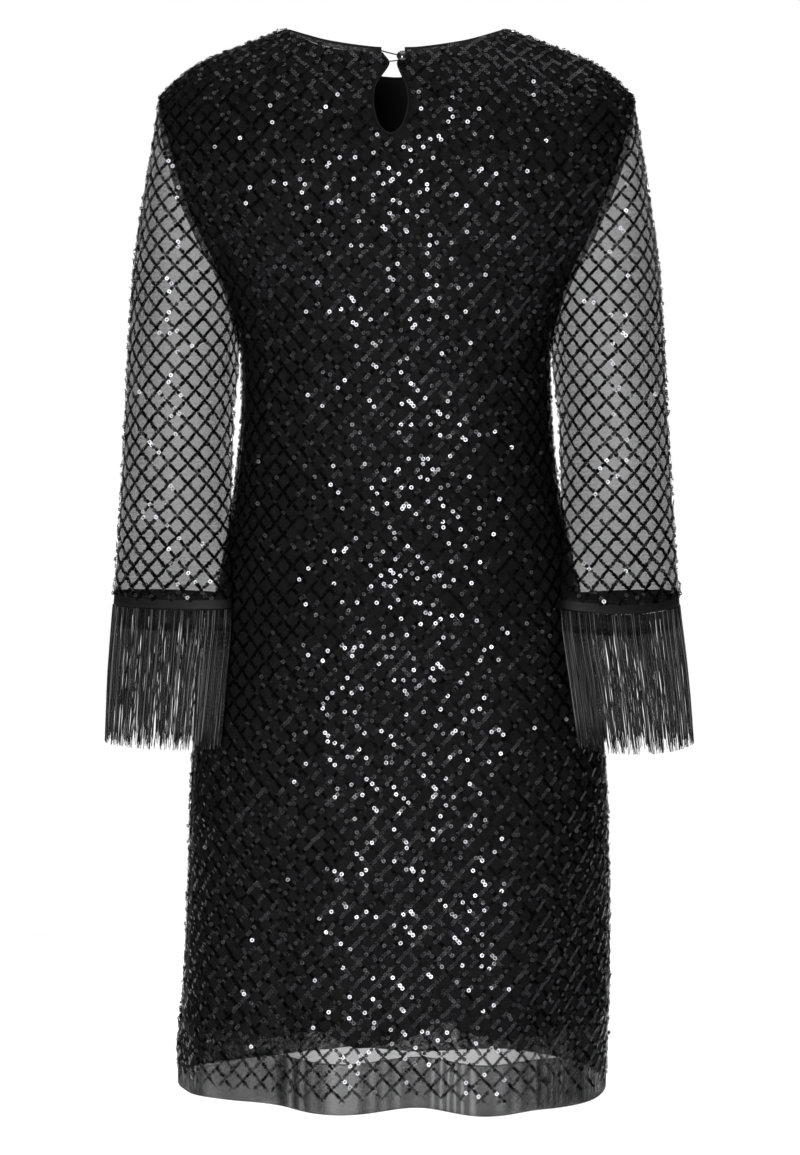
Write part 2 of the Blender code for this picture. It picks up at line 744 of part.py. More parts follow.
def build_button_loop(parts):
    """Thin cord from the left corner of the keyhole, round the shank and back."""
    seat, normal = button_seat()
    lift = SEAM + SHANK_HEIGHT / 2
    ring = SHANK_RADIUS + LOOP_RADIUS + LOOP_GAP
    sideways = Vector((1.0, 0.0, 0.0))
    sideways = (sideways - normal * sideways.dot(normal)).normalized()
    upward = normal.cross(sideways)
    if upward.z < 0.0:
        upward = -upward
    middle = seat + normal * lift
    first, last = LOOP_ENDS
    upper = surface_at(first.x, first.z) + normal * (LOOP_RADIUS + SEAM)
    lower = surface_at(last.x, last.z) + normal * (LOOP_RADIUS + SEAM)
    bend = []
    for i in range(2 * LOOP_STEPS + 1):
        angle = math.radians(first.turn + (last.turn - first.turn) * i / (2 * LOOP_STEPS))
        bend.append(middle + (sideways * math.cos(angle) + upward * math.sin(angle)) * ring)
    points = [upper.lerp(bend[0], i / LOOP_STEPS) for i in range(LOOP_STEPS)] + bend
    points += [bend[-1].lerp(lower, (i + 1) / LOOP_STEPS) for i in range(LOOP_STEPS)]
    return tube("button_loop", points, LOOP_RADIUS, LOOP_CORD, parts)


def surface_at(x, z):
    """Point of the back's surface at a place across and a height."""
    return body_point("back", place_across(x, z), z)


def clear_scene():
    """Remove whatever the file holds."""
    for item in list(bpy.data.objects):
        bpy.data.objects.remove(item)


def main():
    """Build the dress."""
    clear_scene()
    parts = bpy.data.collections.new("party_dress")
    cutters = bpy.data.collections.new("cutters")
    bpy.context.scene.collection.children.link(parts)
    bpy.context.scene.collection.children.link(cutters)
    keyhole = build_keyhole_cutter(cutters)
    drop = (LINING_DROP_TOP, LINING_DROP_HEM)
    for side in ("back", "front"):
        net = build_panel(
            side + "_panel", side, BLACK_NET, NET_WALL, NET_SKIRT_ROWS,
            NET_HEM, NET_FOLDS, None, parts)
        lining = build_panel(
            "lining_" + side, side, BLACK_JERSEY, LINING_WALL, LINING_SKIRT_ROWS,
            LINING_HEM, LINING_FOLDS, drop, parts)
        if side == "back":
            cut(net, keyhole)
            cut(lining, keyhole)
    for side in ("left", "right"):
        build_sleeve(side, parts)
        build_cuff_band(side, parts)
        build_fringe(side, parts)
    build_neck_binding(parts)
    build_keyhole_binding(parts)
    build_button(parts)
    build_button_loop(parts)


main()
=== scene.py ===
"""Looks of a black party dress: sequinned net over jersey, sheer sleeves and fringed cuffs.

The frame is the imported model's. Metres, +Z up, the dress faces -Y, the wearer's left is +X.
"""
import logging
import math
from dataclasses import dataclass, field
from enum import Enum
from typing import Any, Callable, NamedTuple, Sequence, Union

import bpy
import numpy as np
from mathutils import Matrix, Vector
from mathutils.bvhtree import BVHTree


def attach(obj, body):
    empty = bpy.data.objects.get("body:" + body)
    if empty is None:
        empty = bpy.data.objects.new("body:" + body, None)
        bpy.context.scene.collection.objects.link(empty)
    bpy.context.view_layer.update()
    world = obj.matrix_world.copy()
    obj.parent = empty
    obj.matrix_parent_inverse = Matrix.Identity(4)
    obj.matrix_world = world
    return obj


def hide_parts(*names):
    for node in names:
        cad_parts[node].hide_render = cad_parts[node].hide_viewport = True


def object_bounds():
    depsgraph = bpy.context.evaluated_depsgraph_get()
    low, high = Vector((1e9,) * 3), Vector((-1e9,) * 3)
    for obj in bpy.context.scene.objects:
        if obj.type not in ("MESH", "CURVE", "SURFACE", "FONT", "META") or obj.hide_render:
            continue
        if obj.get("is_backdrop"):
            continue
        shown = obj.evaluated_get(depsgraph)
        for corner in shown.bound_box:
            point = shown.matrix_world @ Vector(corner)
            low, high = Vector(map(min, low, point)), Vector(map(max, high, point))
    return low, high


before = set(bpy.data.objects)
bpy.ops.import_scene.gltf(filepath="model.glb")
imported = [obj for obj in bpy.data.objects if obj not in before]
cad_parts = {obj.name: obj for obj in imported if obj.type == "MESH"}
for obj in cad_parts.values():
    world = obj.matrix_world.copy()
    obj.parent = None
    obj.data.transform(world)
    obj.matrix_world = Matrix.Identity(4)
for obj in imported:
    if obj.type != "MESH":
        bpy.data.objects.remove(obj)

Array = np.ndarray
Colour = tuple[float, float, float]
LOG = logging.getLogger("party_dress")

# Place of the camera, behind the dress
CAMERA = (0.0, 3.046, -0.2)
# Width and height of one diamond of the net's lattice
CELL = (0.0165, 0.0178)


class Side(Enum):
    """The two panels of the body."""

    BACK = "back"
    FRONT = "front"

    @property
    def sign(self) -> float:
        """Way that the panel faces along Y."""
        return 1.0 if self is Side.BACK else -1.0


class Hand(Enum):
    """The wearer's two arms."""

    LEFT = "left"
    RIGHT = "right"

    @property
    def sign(self) -> float:
        """Way that the arm lies along X."""
        return 1.0 if self is Hand.LEFT else -1.0


class Slot(Enum):
    """Material slots of the record."""

    NET = "sequinned_net"
    JERSEY = "lining_jersey"
    RIBBON = "cuff_ribbon"
    FRINGE = "fringe_cord"
    GLOSS = "button_gloss"
    CORD = "loop_cord"


# One row for each level of the body. Edge is the angle round from the middle, in degrees, at
# which a panel ends: the armhole, then the side seam
class Level(NamedTuple):
    """Section of the body at one height."""

    z: float
    width: float
    edge: float
    back: float
    front: float
    sway: float


LEVELS = [
    Level(0.030, 0.225, 65.7, 0.100, 0.104, -0.002),
    Level(-0.058, 0.225, 65.7, 0.104, 0.106, -0.002),
    Level(-0.101, 0.213, 65.7, 0.107, 0.112, -0.002),
    Level(-0.150, 0.195, 66.0, 0.108, 0.120, -0.001),
    Level(-0.176, 0.182, 67.0, 0.107, 0.124, -0.001),
    Level(-0.199, 0.166, 69.4, 0.106, 0.127, -0.001),
    Level(-0.229, 0.149, 75.5, 0.103, 0.128, -0.001),
    Level(-0.266, 0.136, 90.0, 0.099, 0.126, -0.001),
    Level(-0.323, 0.134, 90.0, 0.093, 0.118, -0.002),
    Level(-0.384, 0.139, 90.0, 0.093, 0.112, -0.002),
    Level(-0.450, 0.150, 90.0, 0.102, 0.112, -0.003),
    Level(-0.520, 0.164, 90.0, 0.114, 0.114, -0.004),
    Level(-0.628, 0.179, 90.0, 0.121, 0.117, -0.004),
    Level(-0.733, 0.183, 90.0, 0.124, 0.119, -0.004),
    Level(-0.837, 0.186, 90.0, 0.125, 0.120, -0.002),
    Level(-0.872, 0.187, 90.0, 0.126, 0.121, 0.001),
    Level(-0.930, 0.187, 90.0, 0.126, 0.121, 0.002),
]


class Crown(NamedTuple):
    """Height of the shoulder line at a distance from the middle."""

    x: float
    z: float


CROWN = [
    Crown(0.000, 0.025),
    Crown(0.040, 0.020),
    Crown(0.070, 0.011),
    Crown(0.097, 0.000),
    Crown(0.141, -0.017),
    Crown(0.170, -0.029),
    Crown(0.188, -0.042),
    Crown(0.206, -0.058),
]


class Neck(NamedTuple):
    """Height of the neck edge at a distance from the middle."""

    x: float
    back: float
    front: float


NECK = [
    Neck(0.000, -0.0205, -0.0385),
    Neck(0.020, -0.0198, -0.0362),
    Neck(0.057, -0.0138, -0.0235),
    Neck(0.080, -0.0068, -0.0100),
    Neck(0.097, 0.0000, 0.0000),
]


class Fold(NamedTuple):
    """Soft flute of a skirt. Place runs from -1 at the right seam to 1 at the left."""

    side: Side
    place: float
    depth: float
    reach: float
    top: float


NET_FOLDS = [
    Fold(Side.BACK, 0.18, 0.0070, 0.17, -0.560),
    Fold(Side.BACK, -0.33, 0.0080, 0.18, -0.600),
    Fold(Side.BACK, -0.06, -0.0050, 0.13, -0.640),
    Fold(Side.BACK, 0.40, -0.0050, 0.16, -0.620),
    Fold(Side.BACK, -0.62, -0.0050, 0.17, -0.580),
    Fold(Side.BACK, 0.68, 0.0040, 0.15, -0.540),
    Fold(Side.FRONT, -0.24, 0.0075, 0.18, -0.580),
    Fold(Side.FRONT, 0.30, 0.0065, 0.16, -0.540),
    Fold(Side.FRONT, 0.03, -0.0050, 0.14, -0.620),
    Fold(Side.FRONT, -0.52, -0.0050, 0.16, -0.560),
    Fold(Side.FRONT, 0.60, -0.0045, 0.17, -0.640),
]
LINING_FOLDS = [
    Fold(Side.BACK, 0.12, 0.0020, 0.16, -0.660),
    Fold(Side.BACK, -0.17, -0.0080, 0.14, -0.700),
    Fold(Side.BACK, 0.26, -0.0060, 0.12, -0.720),
    Fold(Side.BACK, -0.42, 0.0015, 0.16, -0.640),
    Fold(Side.BACK, -0.64, -0.0060, 0.16, -0.680),
    Fold(Side.FRONT, 0.20, -0.0070, 0.15, -0.680),
    Fold(Side.FRONT, -0.10, 0.0010, 0.14, -0.660),
    Fold(Side.FRONT, -0.36, -0.0070, 0.15, -0.720),
    Fold(Side.FRONT, 0.56, -0.0060, 0.16, -0.640),
]


class Crease(NamedTuple):
    """Soft trough or ridge along a line of a panel, from one point to another."""

    side: Side
    x1: float
    z1: float
    x2: float
    z2: float
    depth: float
    width: float


CREASES = [
    Crease(Side.BACK, 0.128, -0.250, 0.040, -0.340, -0.0012, 0.010),
    Crease(Side.BACK, 0.126, -0.290, 0.062, -0.352, 0.0010, 0.009),
    Crease(Side.BACK, -0.130, -0.246, -0.052, -0.322, -0.0012, 0.011),
    Crease(Side.BACK, -0.122, -0.300, -0.030, -0.366, 0.0009, 0.010),
    Crease(Side.BACK, 0.110, -0.372, 0.020, -0.392, -0.0010, 0.012),
    Crease(Side.BACK, -0.112, -0.398, -0.034, -0.410, -0.0009, 0.010),
    Crease(Side.BACK, 0.130, -0.430, 0.066, -0.560, 0.0012, 0.014),
    Crease(Side.BACK, -0.134, -0.440, -0.090, -0.600, 0.0013, 0.015),
    Crease(Side.BACK, 0.168, -0.115, 0.120, -0.205, -0.0014, 0.012),
    Crease(Side.BACK, -0.172, -0.120, -0.128, -0.200, -0.0014, 0.012),
    Crease(Side.FRONT, 0.126, -0.262, 0.070, -0.220, -0.0014, 0.012),
    Crease(Side.FRONT, -0.128, -0.268, -0.064, -0.226, -0.0013, 0.011),
    Crease(Side.FRONT, 0.112, -0.366, 0.030, -0.384, -0.0010, 0.011),
    Crease(Side.FRONT, -0.108, -0.380, -0.020, -0.402, -0.0010, 0.012),
    Crease(Side.FRONT, 0.134, -0.440, 0.080, -0.590, 0.0012, 0.015),
    Crease(Side.FRONT, -0.130, -0.430, -0.070, -0.570, 0.0012, 0.014),
    Crease(Side.FRONT, 0.170, -0.118, 0.124, -0.200, -0.0013, 0.012),
    Crease(Side.FRONT, -0.168, -0.112, -0.120, -0.206, -0.0014, 0.012),
]


class Hem(NamedTuple):
    """Height of a waving lower edge."""

    x: float
    back: float
    front: float


NET_HEM = [
    Hem(-0.187, -0.9195, -0.9195),
    Hem(-0.160, -0.9225, -0.9160),
    Hem(-0.115, -0.9185, -0.9140),
    Hem(-0.070, -0.9195, -0.9185),
    Hem(-0.025, -0.9130, -0.9200),
    Hem(0.030, -0.9170, -0.9150),
    Hem(0.062, -0.9165, -0.9180),
    Hem(0.100, -0.9135, -0.9210),
    Hem(0.160, -0.9135, -0.9180),
    Hem(0.187, -0.9160, -0.9160),
]
LINING_HEM = [
    Hem(-0.180, -0.856, -0.858),
    Hem(-0.119, -0.857, -0.851),
    Hem(-0.075, -0.856, -0.846),
    Hem(-0.044, -0.842, -0.855),
    Hem(-0.018, -0.852, -0.861),
    Hem(0.030, -0.862, -0.859),
    Hem(0.066, -0.850, -0.848),
    Hem(0.100, -0.856, -0.852),
    Hem(0.130, -0.860, -0.860),
    Hem(0.180, -0.858, -0.858),
]


class Arm(NamedTuple):
    """Level oval of a sleeve. Out and back say how much further the right one hangs."""

    z: float
    outer: float
    inner: float
    centre_y: float
    half_depth: float
    yaw: float
    out: float
    back: float


ARM_LEVELS = [
    Arm(-0.040, 0.2030, 0.1650, 0.000, 0.030, 0.0, 0.003, 0.000),
    Arm(-0.058, 0.2050, 0.1600, 0.000, 0.034, 0.0, 0.003, 0.000),
    Arm(-0.101, 0.2110, 0.1530, 0.000, 0.048, 0.0, 0.004, 0.000),
    Arm(-0.150, 0.2185, 0.1470, 0.000, 0.055, 0.0, 0.004, 0.000),
    Arm(-0.200, 0.2255, 0.1420, 0.000, 0.056, 0.0, 0.004, 0.000),
    Arm(-0.266, 0.2300, 0.1385, 0.003, 0.053, 0.0, 0.004, 0.000),
    Arm(-0.323, 0.2325, 0.1390, 0.007, 0.048, 4.0, 0.004, 0.000),
    Arm(-0.384, 0.2350, 0.1410, 0.015, 0.041, 11.0, 0.004, 0.001),
    Arm(-0.450, 0.2380, 0.1410, 0.034, 0.031, 21.0, 0.004, 0.004),
    Arm(-0.500, 0.2415, 0.1395, 0.048, 0.024, 26.0, 0.004, 0.007),
    Arm(-0.560, 0.2440, 0.1445, 0.062, 0.025, 27.0, 0.007, 0.006),
    Arm(-0.630, 0.2465, 0.1500, 0.078, 0.027, 27.0, 0.010, 0.004),
]


class ArmCrease(NamedTuple):
    """Soft trough or ridge across a sleeve. Turns are degrees round from the outside."""

    hand: Hand
    turn1: float
    z1: float
    turn2: float
    z2: float
    depth: float
    width: float


ARM_CREASES = [
    ArmCrease(Hand.LEFT, 170.0, -0.290, 80.0, -0.318, -0.0018, 0.009),
    ArmCrease(Hand.LEFT, 200.0, -0.325, 110.0, -0.338, -0.0016, 0.008),
    ArmCrease(Hand.LEFT, 240.0, -0.310, 300.0, -0.345, -0.0016, 0.010),
    ArmCrease(Hand.LEFT, 60.0, -0.370, 150.0, -0.352, -0.0014, 0.009),
    ArmCrease(Hand.LEFT, 150.0, -0.240, 70.0, -0.215, 0.0012, 0.012),
    ArmCrease(Hand.LEFT, 30.0, -0.110, 80.0, -0.160, -0.0013, 0.012),
    ArmCrease(Hand.RIGHT, 165.0, -0.300, 90.0, -0.322, -0.0018, 0.009),
    ArmCrease(Hand.RIGHT, 205.0, -0.335, 120.0, -0.350, -0.0015, 0.009),
    ArmCrease(Hand.RIGHT, 245.0, -0.300, 310.0, -0.330, -0.0016, 0.010),
    ArmCrease(Hand.RIGHT, 50.0, -0.365, 140.0, -0.360, -0.0014, 0.010),
    ArmCrease(Hand.RIGHT, 150.0, -0.250, 75.0, -0.226, 0.0012, 0.012),
    ArmCrease(Hand.RIGHT, 28.0, -0.105, 85.0, -0.150, -0.0013, 0.012),
]


class KeyholeRow(NamedTuple):
    """Half width and middle of the keyhole at one height."""

    z: float
    half_width: float
    centre: float


KEYHOLE = [
    KeyholeRow(-0.0120, 0.0100, 0.0008),
    KeyholeRow(-0.0200, 0.0100, 0.0008),
    KeyholeRow(-0.0250, 0.0096, 0.0008),
    KeyholeRow(-0.0300, 0.0058, 0.0006),
    KeyholeRow(-0.0326, 0.0045, 0.0006),
    KeyholeRow(-0.0360, 0.0054, 0.0010),
    KeyholeRow(-0.0460, 0.0109, 0.0024),
    KeyholeRow(-0.0544, 0.0143, 0.0028),
    KeyholeRow(-0.0684, 0.0153, 0.0026),
    KeyholeRow(-0.0825, 0.0122, 0.0027),
    KeyholeRow(-0.0890, 0.0086, 0.0028),
    KeyholeRow(-0.0930, 0.0045, 0.0028),
]


class Bare(NamedTuple):
    """How deep the net is bare of sequins below the back neck, at one place across."""

    x: float
    depth: float


BARE_NECK = [
    Bare(-0.060, 0.0016),
    Bare(-0.034, 0.0022),
    Bare(-0.026, 0.0040),
    Bare(-0.018, 0.0040),
    Bare(-0.012, 0.0020),
    Bare(0.010, 0.0020),
    Bare(0.020, 0.0050),
    Bare(0.040, 0.0068),
    Bare(0.066, 0.0066),
    Bare(0.082, 0.0040),
    Bare(0.092, 0.0016),
]


class SmoothCurve:
    """Smooth curve through one column of a table."""

    def __init__(self, rows: Sequence[Any], axis: str, column: str) -> None:
        """Read the table.

        Args:
            rows: The table's rows, in either direction.
            axis: Name of the column to look up by.
            column: Name of the column to read.
        """
        pairs = sorted((getattr(row, axis), getattr(row, column)) for row in rows)
        self.places = np.array([place for place, _ in pairs])
        self.values = np.array([value for _, value in pairs])
        count = len(pairs)
        low = np.maximum(np.arange(count) - 1, 0)
        high = np.minimum(np.arange(count) + 1, count - 1)
        rise = self.values[high] - self.values[low]
        self.slopes = rise / (self.places[high] - self.places[low])

    def at(self, value: Union[float, Array]) -> Array:
        """Read the curve.

        Args:
            value: Places to read at. Past either end the curve stays level.

        Returns:
            The curve's value at each place.
        """
        value = np.clip(value, self.places[0], self.places[-1])
        i = np.clip(np.searchsorted(self.places, value) - 1, 0, len(self.places) - 2)
        step = self.places[i + 1] - self.places[i]
        t = (value - self.places[i]) / step
        start = self.values[i] * (2 * t**3 - 3 * t**2 + 1) + self.values[i + 1] * (3 * t**2 - 2 * t**3)
        bend = self.slopes[i] * (t**3 - 2 * t**2 + t) + self.slopes[i + 1] * (t**3 - t**2)
        return start + step * bend


def ease(value: Union[float, Array]) -> Array:
    """Smooth step from 0 to 1.

    Args:
        value: Any number or array of numbers.

    Returns:
        0 below 0, 1 above 1 and a smooth rise between.
    """
    value = np.clip(value, 0.0, 1.0)
    return value * value * (3.0 - 2.0 * value)


def unit(vectors: Array) -> Array:
    """Scale vectors to length 1.

    Args:
        vectors: Vectors along the last axis.

    Returns:
        The same vectors at length 1.
    """
    return vectors / np.maximum(np.linalg.norm(vectors, axis=-1, keepdims=True), 1e-12)


def line_swell(across: Array, up: Array, ends: Sequence[float], width: float) -> Array:
    """Cross-section of a crease that runs along a line and fades at its ends.

    Args:
        across: First coordinate of each point.
        up: Second coordinate of each point.
        ends: The line's two ends, as first, second, first, second.
        width: Distance from the line at which the crease has mostly faded.

    Returns:
        1 on the middle of the line, falling to 0 away from it.
    """
    run = np.array([ends[2] - ends[0], ends[3] - ends[1]])
    length = float(np.linalg.norm(run))
    run = run / length
    taper = 0.45 * length
    along = (across - ends[0]) * run[0] + (up - ends[1]) * run[1]
    aside = (across - ends[0]) * run[1] - (up - ends[1]) * run[0]
    fade = ease(along / taper) * ease((length - along) / taper)
    return np.exp(-((aside / width) ** 2)) * fade


@dataclass
class BodyForm:
    """Worn shape of the body, which every panel follows."""

    section_power: float = 2.3
    underarm_z: float = -0.266
    hem_z: float = -0.920
    roof_start: dict[Side, float] = field(
        default_factory=lambda: {Side.BACK: -0.130, Side.FRONT: -0.140})
    seam: float = 0.0007
    neck_half_width: float = 0.097
    keyhole_foot: float = 0.0014
    keyhole_spread: float = 0.36
    keyhole_fade: float = 0.060
    slope_step: float = 0.0020
    crest_step: float = 0.00003
    profile_steps: int = 120
    girth_steps: int = 24

    def __post_init__(self) -> None:
        """Read the tables once."""
        self.width = SmoothCurve(LEVELS, "z", "width")
        self.edge = SmoothCurve(LEVELS, "z", "edge")
        self.sway = SmoothCurve(LEVELS, "z", "sway")
        self.depth = {side: SmoothCurve(LEVELS, "z", side.value) for side in Side}
        self.neck = {side: SmoothCurve(NECK, "x", side.value) for side in Side}
        self.crown_line = SmoothCurve(CROWN, "x", "z")
        self.hole_width = SmoothCurve(KEYHOLE, "z", "half_width")
        self.hole_centre = SmoothCurve(KEYHOLE, "z", "centre")

    def edge_angle(self, z: Array) -> Array:
        """Angle at which a panel ends, at heights z."""
        return np.where(z <= self.underarm_z, math.pi / 2, np.radians(self.edge.at(z)))

    def reach(self, place: Array, z: Array) -> Array:
        """Distance of a column from the body's middle, at heights z."""
        return self.width.at(z) * np.sin(place * self.edge_angle(z))

    def place_across(self, x: Array, z: Array) -> Array:
        """The column that passes through a point of the panel."""
        return np.arcsin((x - self.sway.at(z)) / self.width.at(z)) / self.edge_angle(z)

    def crown(self, place: Array, z: Array) -> Array:
        """Height of the shoulder line above one point of a column."""
        return self.crown_line.at(np.abs(self.reach(place, z)))

    def column_top(self, side: Side, place: float) -> float:
        """Height at which a column starts.

        Args:
            side: The panel.
            place: The column, from -1 to 1.

        Returns:
            The height of the neck edge or the shoulder seam.
        """
        distance = abs(float(self.reach(place, np.float64(0.0))))
        if distance < self.neck_half_width:
            return float(self.neck[side].at(distance))
        z = 0.0
        for _ in range(9):
            z = float(self.crown(place, np.float64(z)))
        return z

    def keyhole_edges(self, z: Array) -> tuple[Array, Array]:
        """Columns of the keyhole's left and right edge.

        Args:
            z: Heights to read at.

        Returns:
            The left edge's column and the right edge's, which meet below the keyhole.
        """
        foot = KEYHOLE[-1].z
        below = np.clip((foot - z) / self.keyhole_foot, 0.0, 1.0)
        half = self.hole_width.at(z) * np.sqrt(1.0 - below**2)
        centre = self.hole_centre.at(z)
        fade = 1.0 - ease((foot - self.keyhole_foot - z) / self.keyhole_fade)
        left = self.place_across(centre + half, z) * fade
        right = self.place_across(centre - half, z) * fade
        return left, right

    def parted(self, place: Array, z: Array, right_half: bool) -> Array:
        """Columns moved aside so that the middle one runs round the keyhole.

        Args:
            place: The columns before they are moved.
            z: Heights of the points.
            right_half: Whether the columns belong to the wearer's right.

        Returns:
            The columns after they are moved.
        """
        edge = self.keyhole_edges(z)[1 if right_half else 0]
        return place + edge * np.clip(1.0 - np.abs(place) / self.keyhole_spread, 0.0, 1.0)

    def fold_push(self, folds: Sequence[Fold], side: Side, place: Array, z: Array, foot: Array) -> Array:
        """How far the skirt's flutes push the cloth out.

        Args:
            folds: The flutes of this cloth.
            side: The panel.
            place: Columns of the points.
            z: Heights of the points.
            foot: Heights of the columns' lower ends.

        Returns:
            The push of each point, in metres.
        """
        push = np.zeros(np.broadcast(place, z).shape)
        for fold in folds:
            if fold.side is side:
                away = np.minimum(np.abs(place - fold.place) / fold.reach, 1.0)
                swell = 0.5 + 0.5 * np.cos(math.pi * away)
                push = push + fold.depth * swell * ease((fold.top - z) / (fold.top - foot))
        return push

    def point(self, side: Side, place: Array, z: Array, folds: Sequence[Fold] = (),
              foot: Union[float, Array] = -0.920) -> Array:
        """Points of the body's surface.

        Args:
            side: The panel.
            place: Columns of the points, from -1 to 1.
            z: Heights of the points.
            folds: The flutes of this cloth. Creases come with them.
            foot: Heights of the columns' lower ends.

        Returns:
            The points, with X, Y and Z along the last axis.
        """
        width = self.width.at(z)
        depth = self.depth[side].at(z)
        across = np.sin(place * self.edge_angle(z))
        power = self.section_power
        round_off = np.maximum(0.0, 1.0 - np.abs(across) ** power) ** (1.0 / power)
        start = self.roof_start[side]
        rise = np.maximum(self.crown(place, z) - start, 1e-6)
        roof = np.sqrt(1.0 - np.clip((z - start) / rise, 0.0, 1.0) ** 2)
        push = self.fold_push(folds, side, place, z, foot)
        if folds:
            for crease in CREASES:
                if crease.side is side:
                    ends = (crease.x1, crease.z1, crease.x2, crease.z2)
                    push = push + crease.depth * line_swell(width * across, z, ends, crease.width)
        out_x = across / width
        out_y = round_off * roof / depth
        length = np.maximum(np.hypot(out_x, out_y), 1e-9)
        x = self.sway.at(z) + width * across + push * out_x / length
        y = depth * round_off * roof + push * out_y / length + self.seam / 2
        return np.stack(np.broadcast_arrays(x, side.sign * y, z), axis=-1)

    def normal(self, side: Side, place: Array, z: Array, folds: Sequence[Fold] = (),
               foot: Union[float, Array] = -0.920) -> Array:
        """Outward directions of the body's surface, for the same arguments as point."""
        inner = place - np.copysign(self.slope_step, place)
        step = np.where(z > self.roof_start[side], self.crest_step, self.slope_step)
        here = self.point(side, place, z, folds, foot)
        down = self.point(side, place, z - step, folds, foot) - here
        across = self.point(side, inner, z, folds, foot) - here
        flip = np.where(np.asarray(place) < 0.0, side.sign, -side.sign)
        return unit(np.cross(across, down)) * flip[..., None]

    def inset(self, side: Side, place: Array, z: Array, folds: Sequence[Fold], foot: Union[float, Array],
              depth: Union[float, Array]) -> Array:
        """Points a given depth inside the body's surface, for the same arguments as point."""
        here = self.point(side, place, z, folds, foot)
        away = self.normal(side, place, z, folds, foot)
        return here - away * np.asarray(depth)[..., None]

    def column_heights(self, side: Side, place: float, rows: tuple[int, int], foot: float,
                       keyhole: bool, right_half: bool, top_drop: float = 0.0) -> tuple[Array, Array]:
        """Heights and places down one column, evenly spaced along the cloth.

        Args:
            side: The panel.
            place: The column before it is moved aside for the keyhole.
            rows: How many rows lie above and below the underarm.
            foot: Height of the column's lower end.
            keyhole: Whether the panel has the keyhole.
            right_half: Whether the column belongs to the wearer's right.
            top_drop: How far the upper edge is lowered.

        Returns:
            The places and the heights of the column's points.
        """
        def moved(heights: Array) -> Array:
            """The column's place at each height."""
            if not keyhole:
                return np.full_like(heights, place)
            return self.parted(np.full_like(heights, place), heights, right_half)

        start = self.roof_start[side]
        top = self.column_top(side, float(moved(np.array([-0.02]))[0]) if keyhole else place) - top_drop
        crest = max(float(self.crown(np.float64(place), np.float64(0.0))), top)
        first = math.acos(min((top - start) / (crest - start), 1.0))
        angles = np.linspace(first, math.pi / 2, self.profile_steps + 1)
        straight = np.linspace(start, self.underarm_z, self.profile_steps + 1)[1:]
        heights = np.concatenate([start + (crest - start) * np.cos(angles), straight])
        path = self.point(side, moved(heights), heights)
        lengths = np.concatenate([[0.0], np.cumsum(np.linalg.norm(np.diff(path, axis=0), axis=1))])
        goals = np.linspace(0.0, lengths[-1], rows[0] + 1)
        above = np.interp(goals, lengths, heights)
        below = np.linspace(self.underarm_z, foot, rows[1] + 1)[1:]
        z = np.concatenate([above, below])
        return moved(z), z

    def flat_coordinates(self, side: Side, place: Array, z: Array) -> tuple[Array, Array]:
        """Where points lie on the cloth once it is laid flat.

        Args:
            side: The panel.
            place: Columns of the points.
            z: Heights of the points.

        Returns:
            Distance across from the middle, and distance up from the start of the yoke's curve.
        """
        shares = np.linspace(0.0, 1.0, self.girth_steps + 1)[:, None, None]
        level = self.point(side, place[None] * shares, z[None] + 0.0 * shares)
        across = np.linalg.norm(np.diff(level, axis=0), axis=-1).sum(axis=0) * np.sign(place)
        start = self.roof_start[side]
        rise = np.maximum(self.crown(place, z) - start, 1e-6)
        angle = np.arcsin(np.clip((z - start) / rise, 0.0, 1.0))
        heights = start + rise[None] * np.sin(angle[None] * shares)
        climb = self.point(side, place[None] + 0.0 * shares, heights)
        up = np.linalg.norm(np.diff(climb, axis=0), axis=-1).sum(axis=0)
        return across, np.where(z > start, up, z - start)


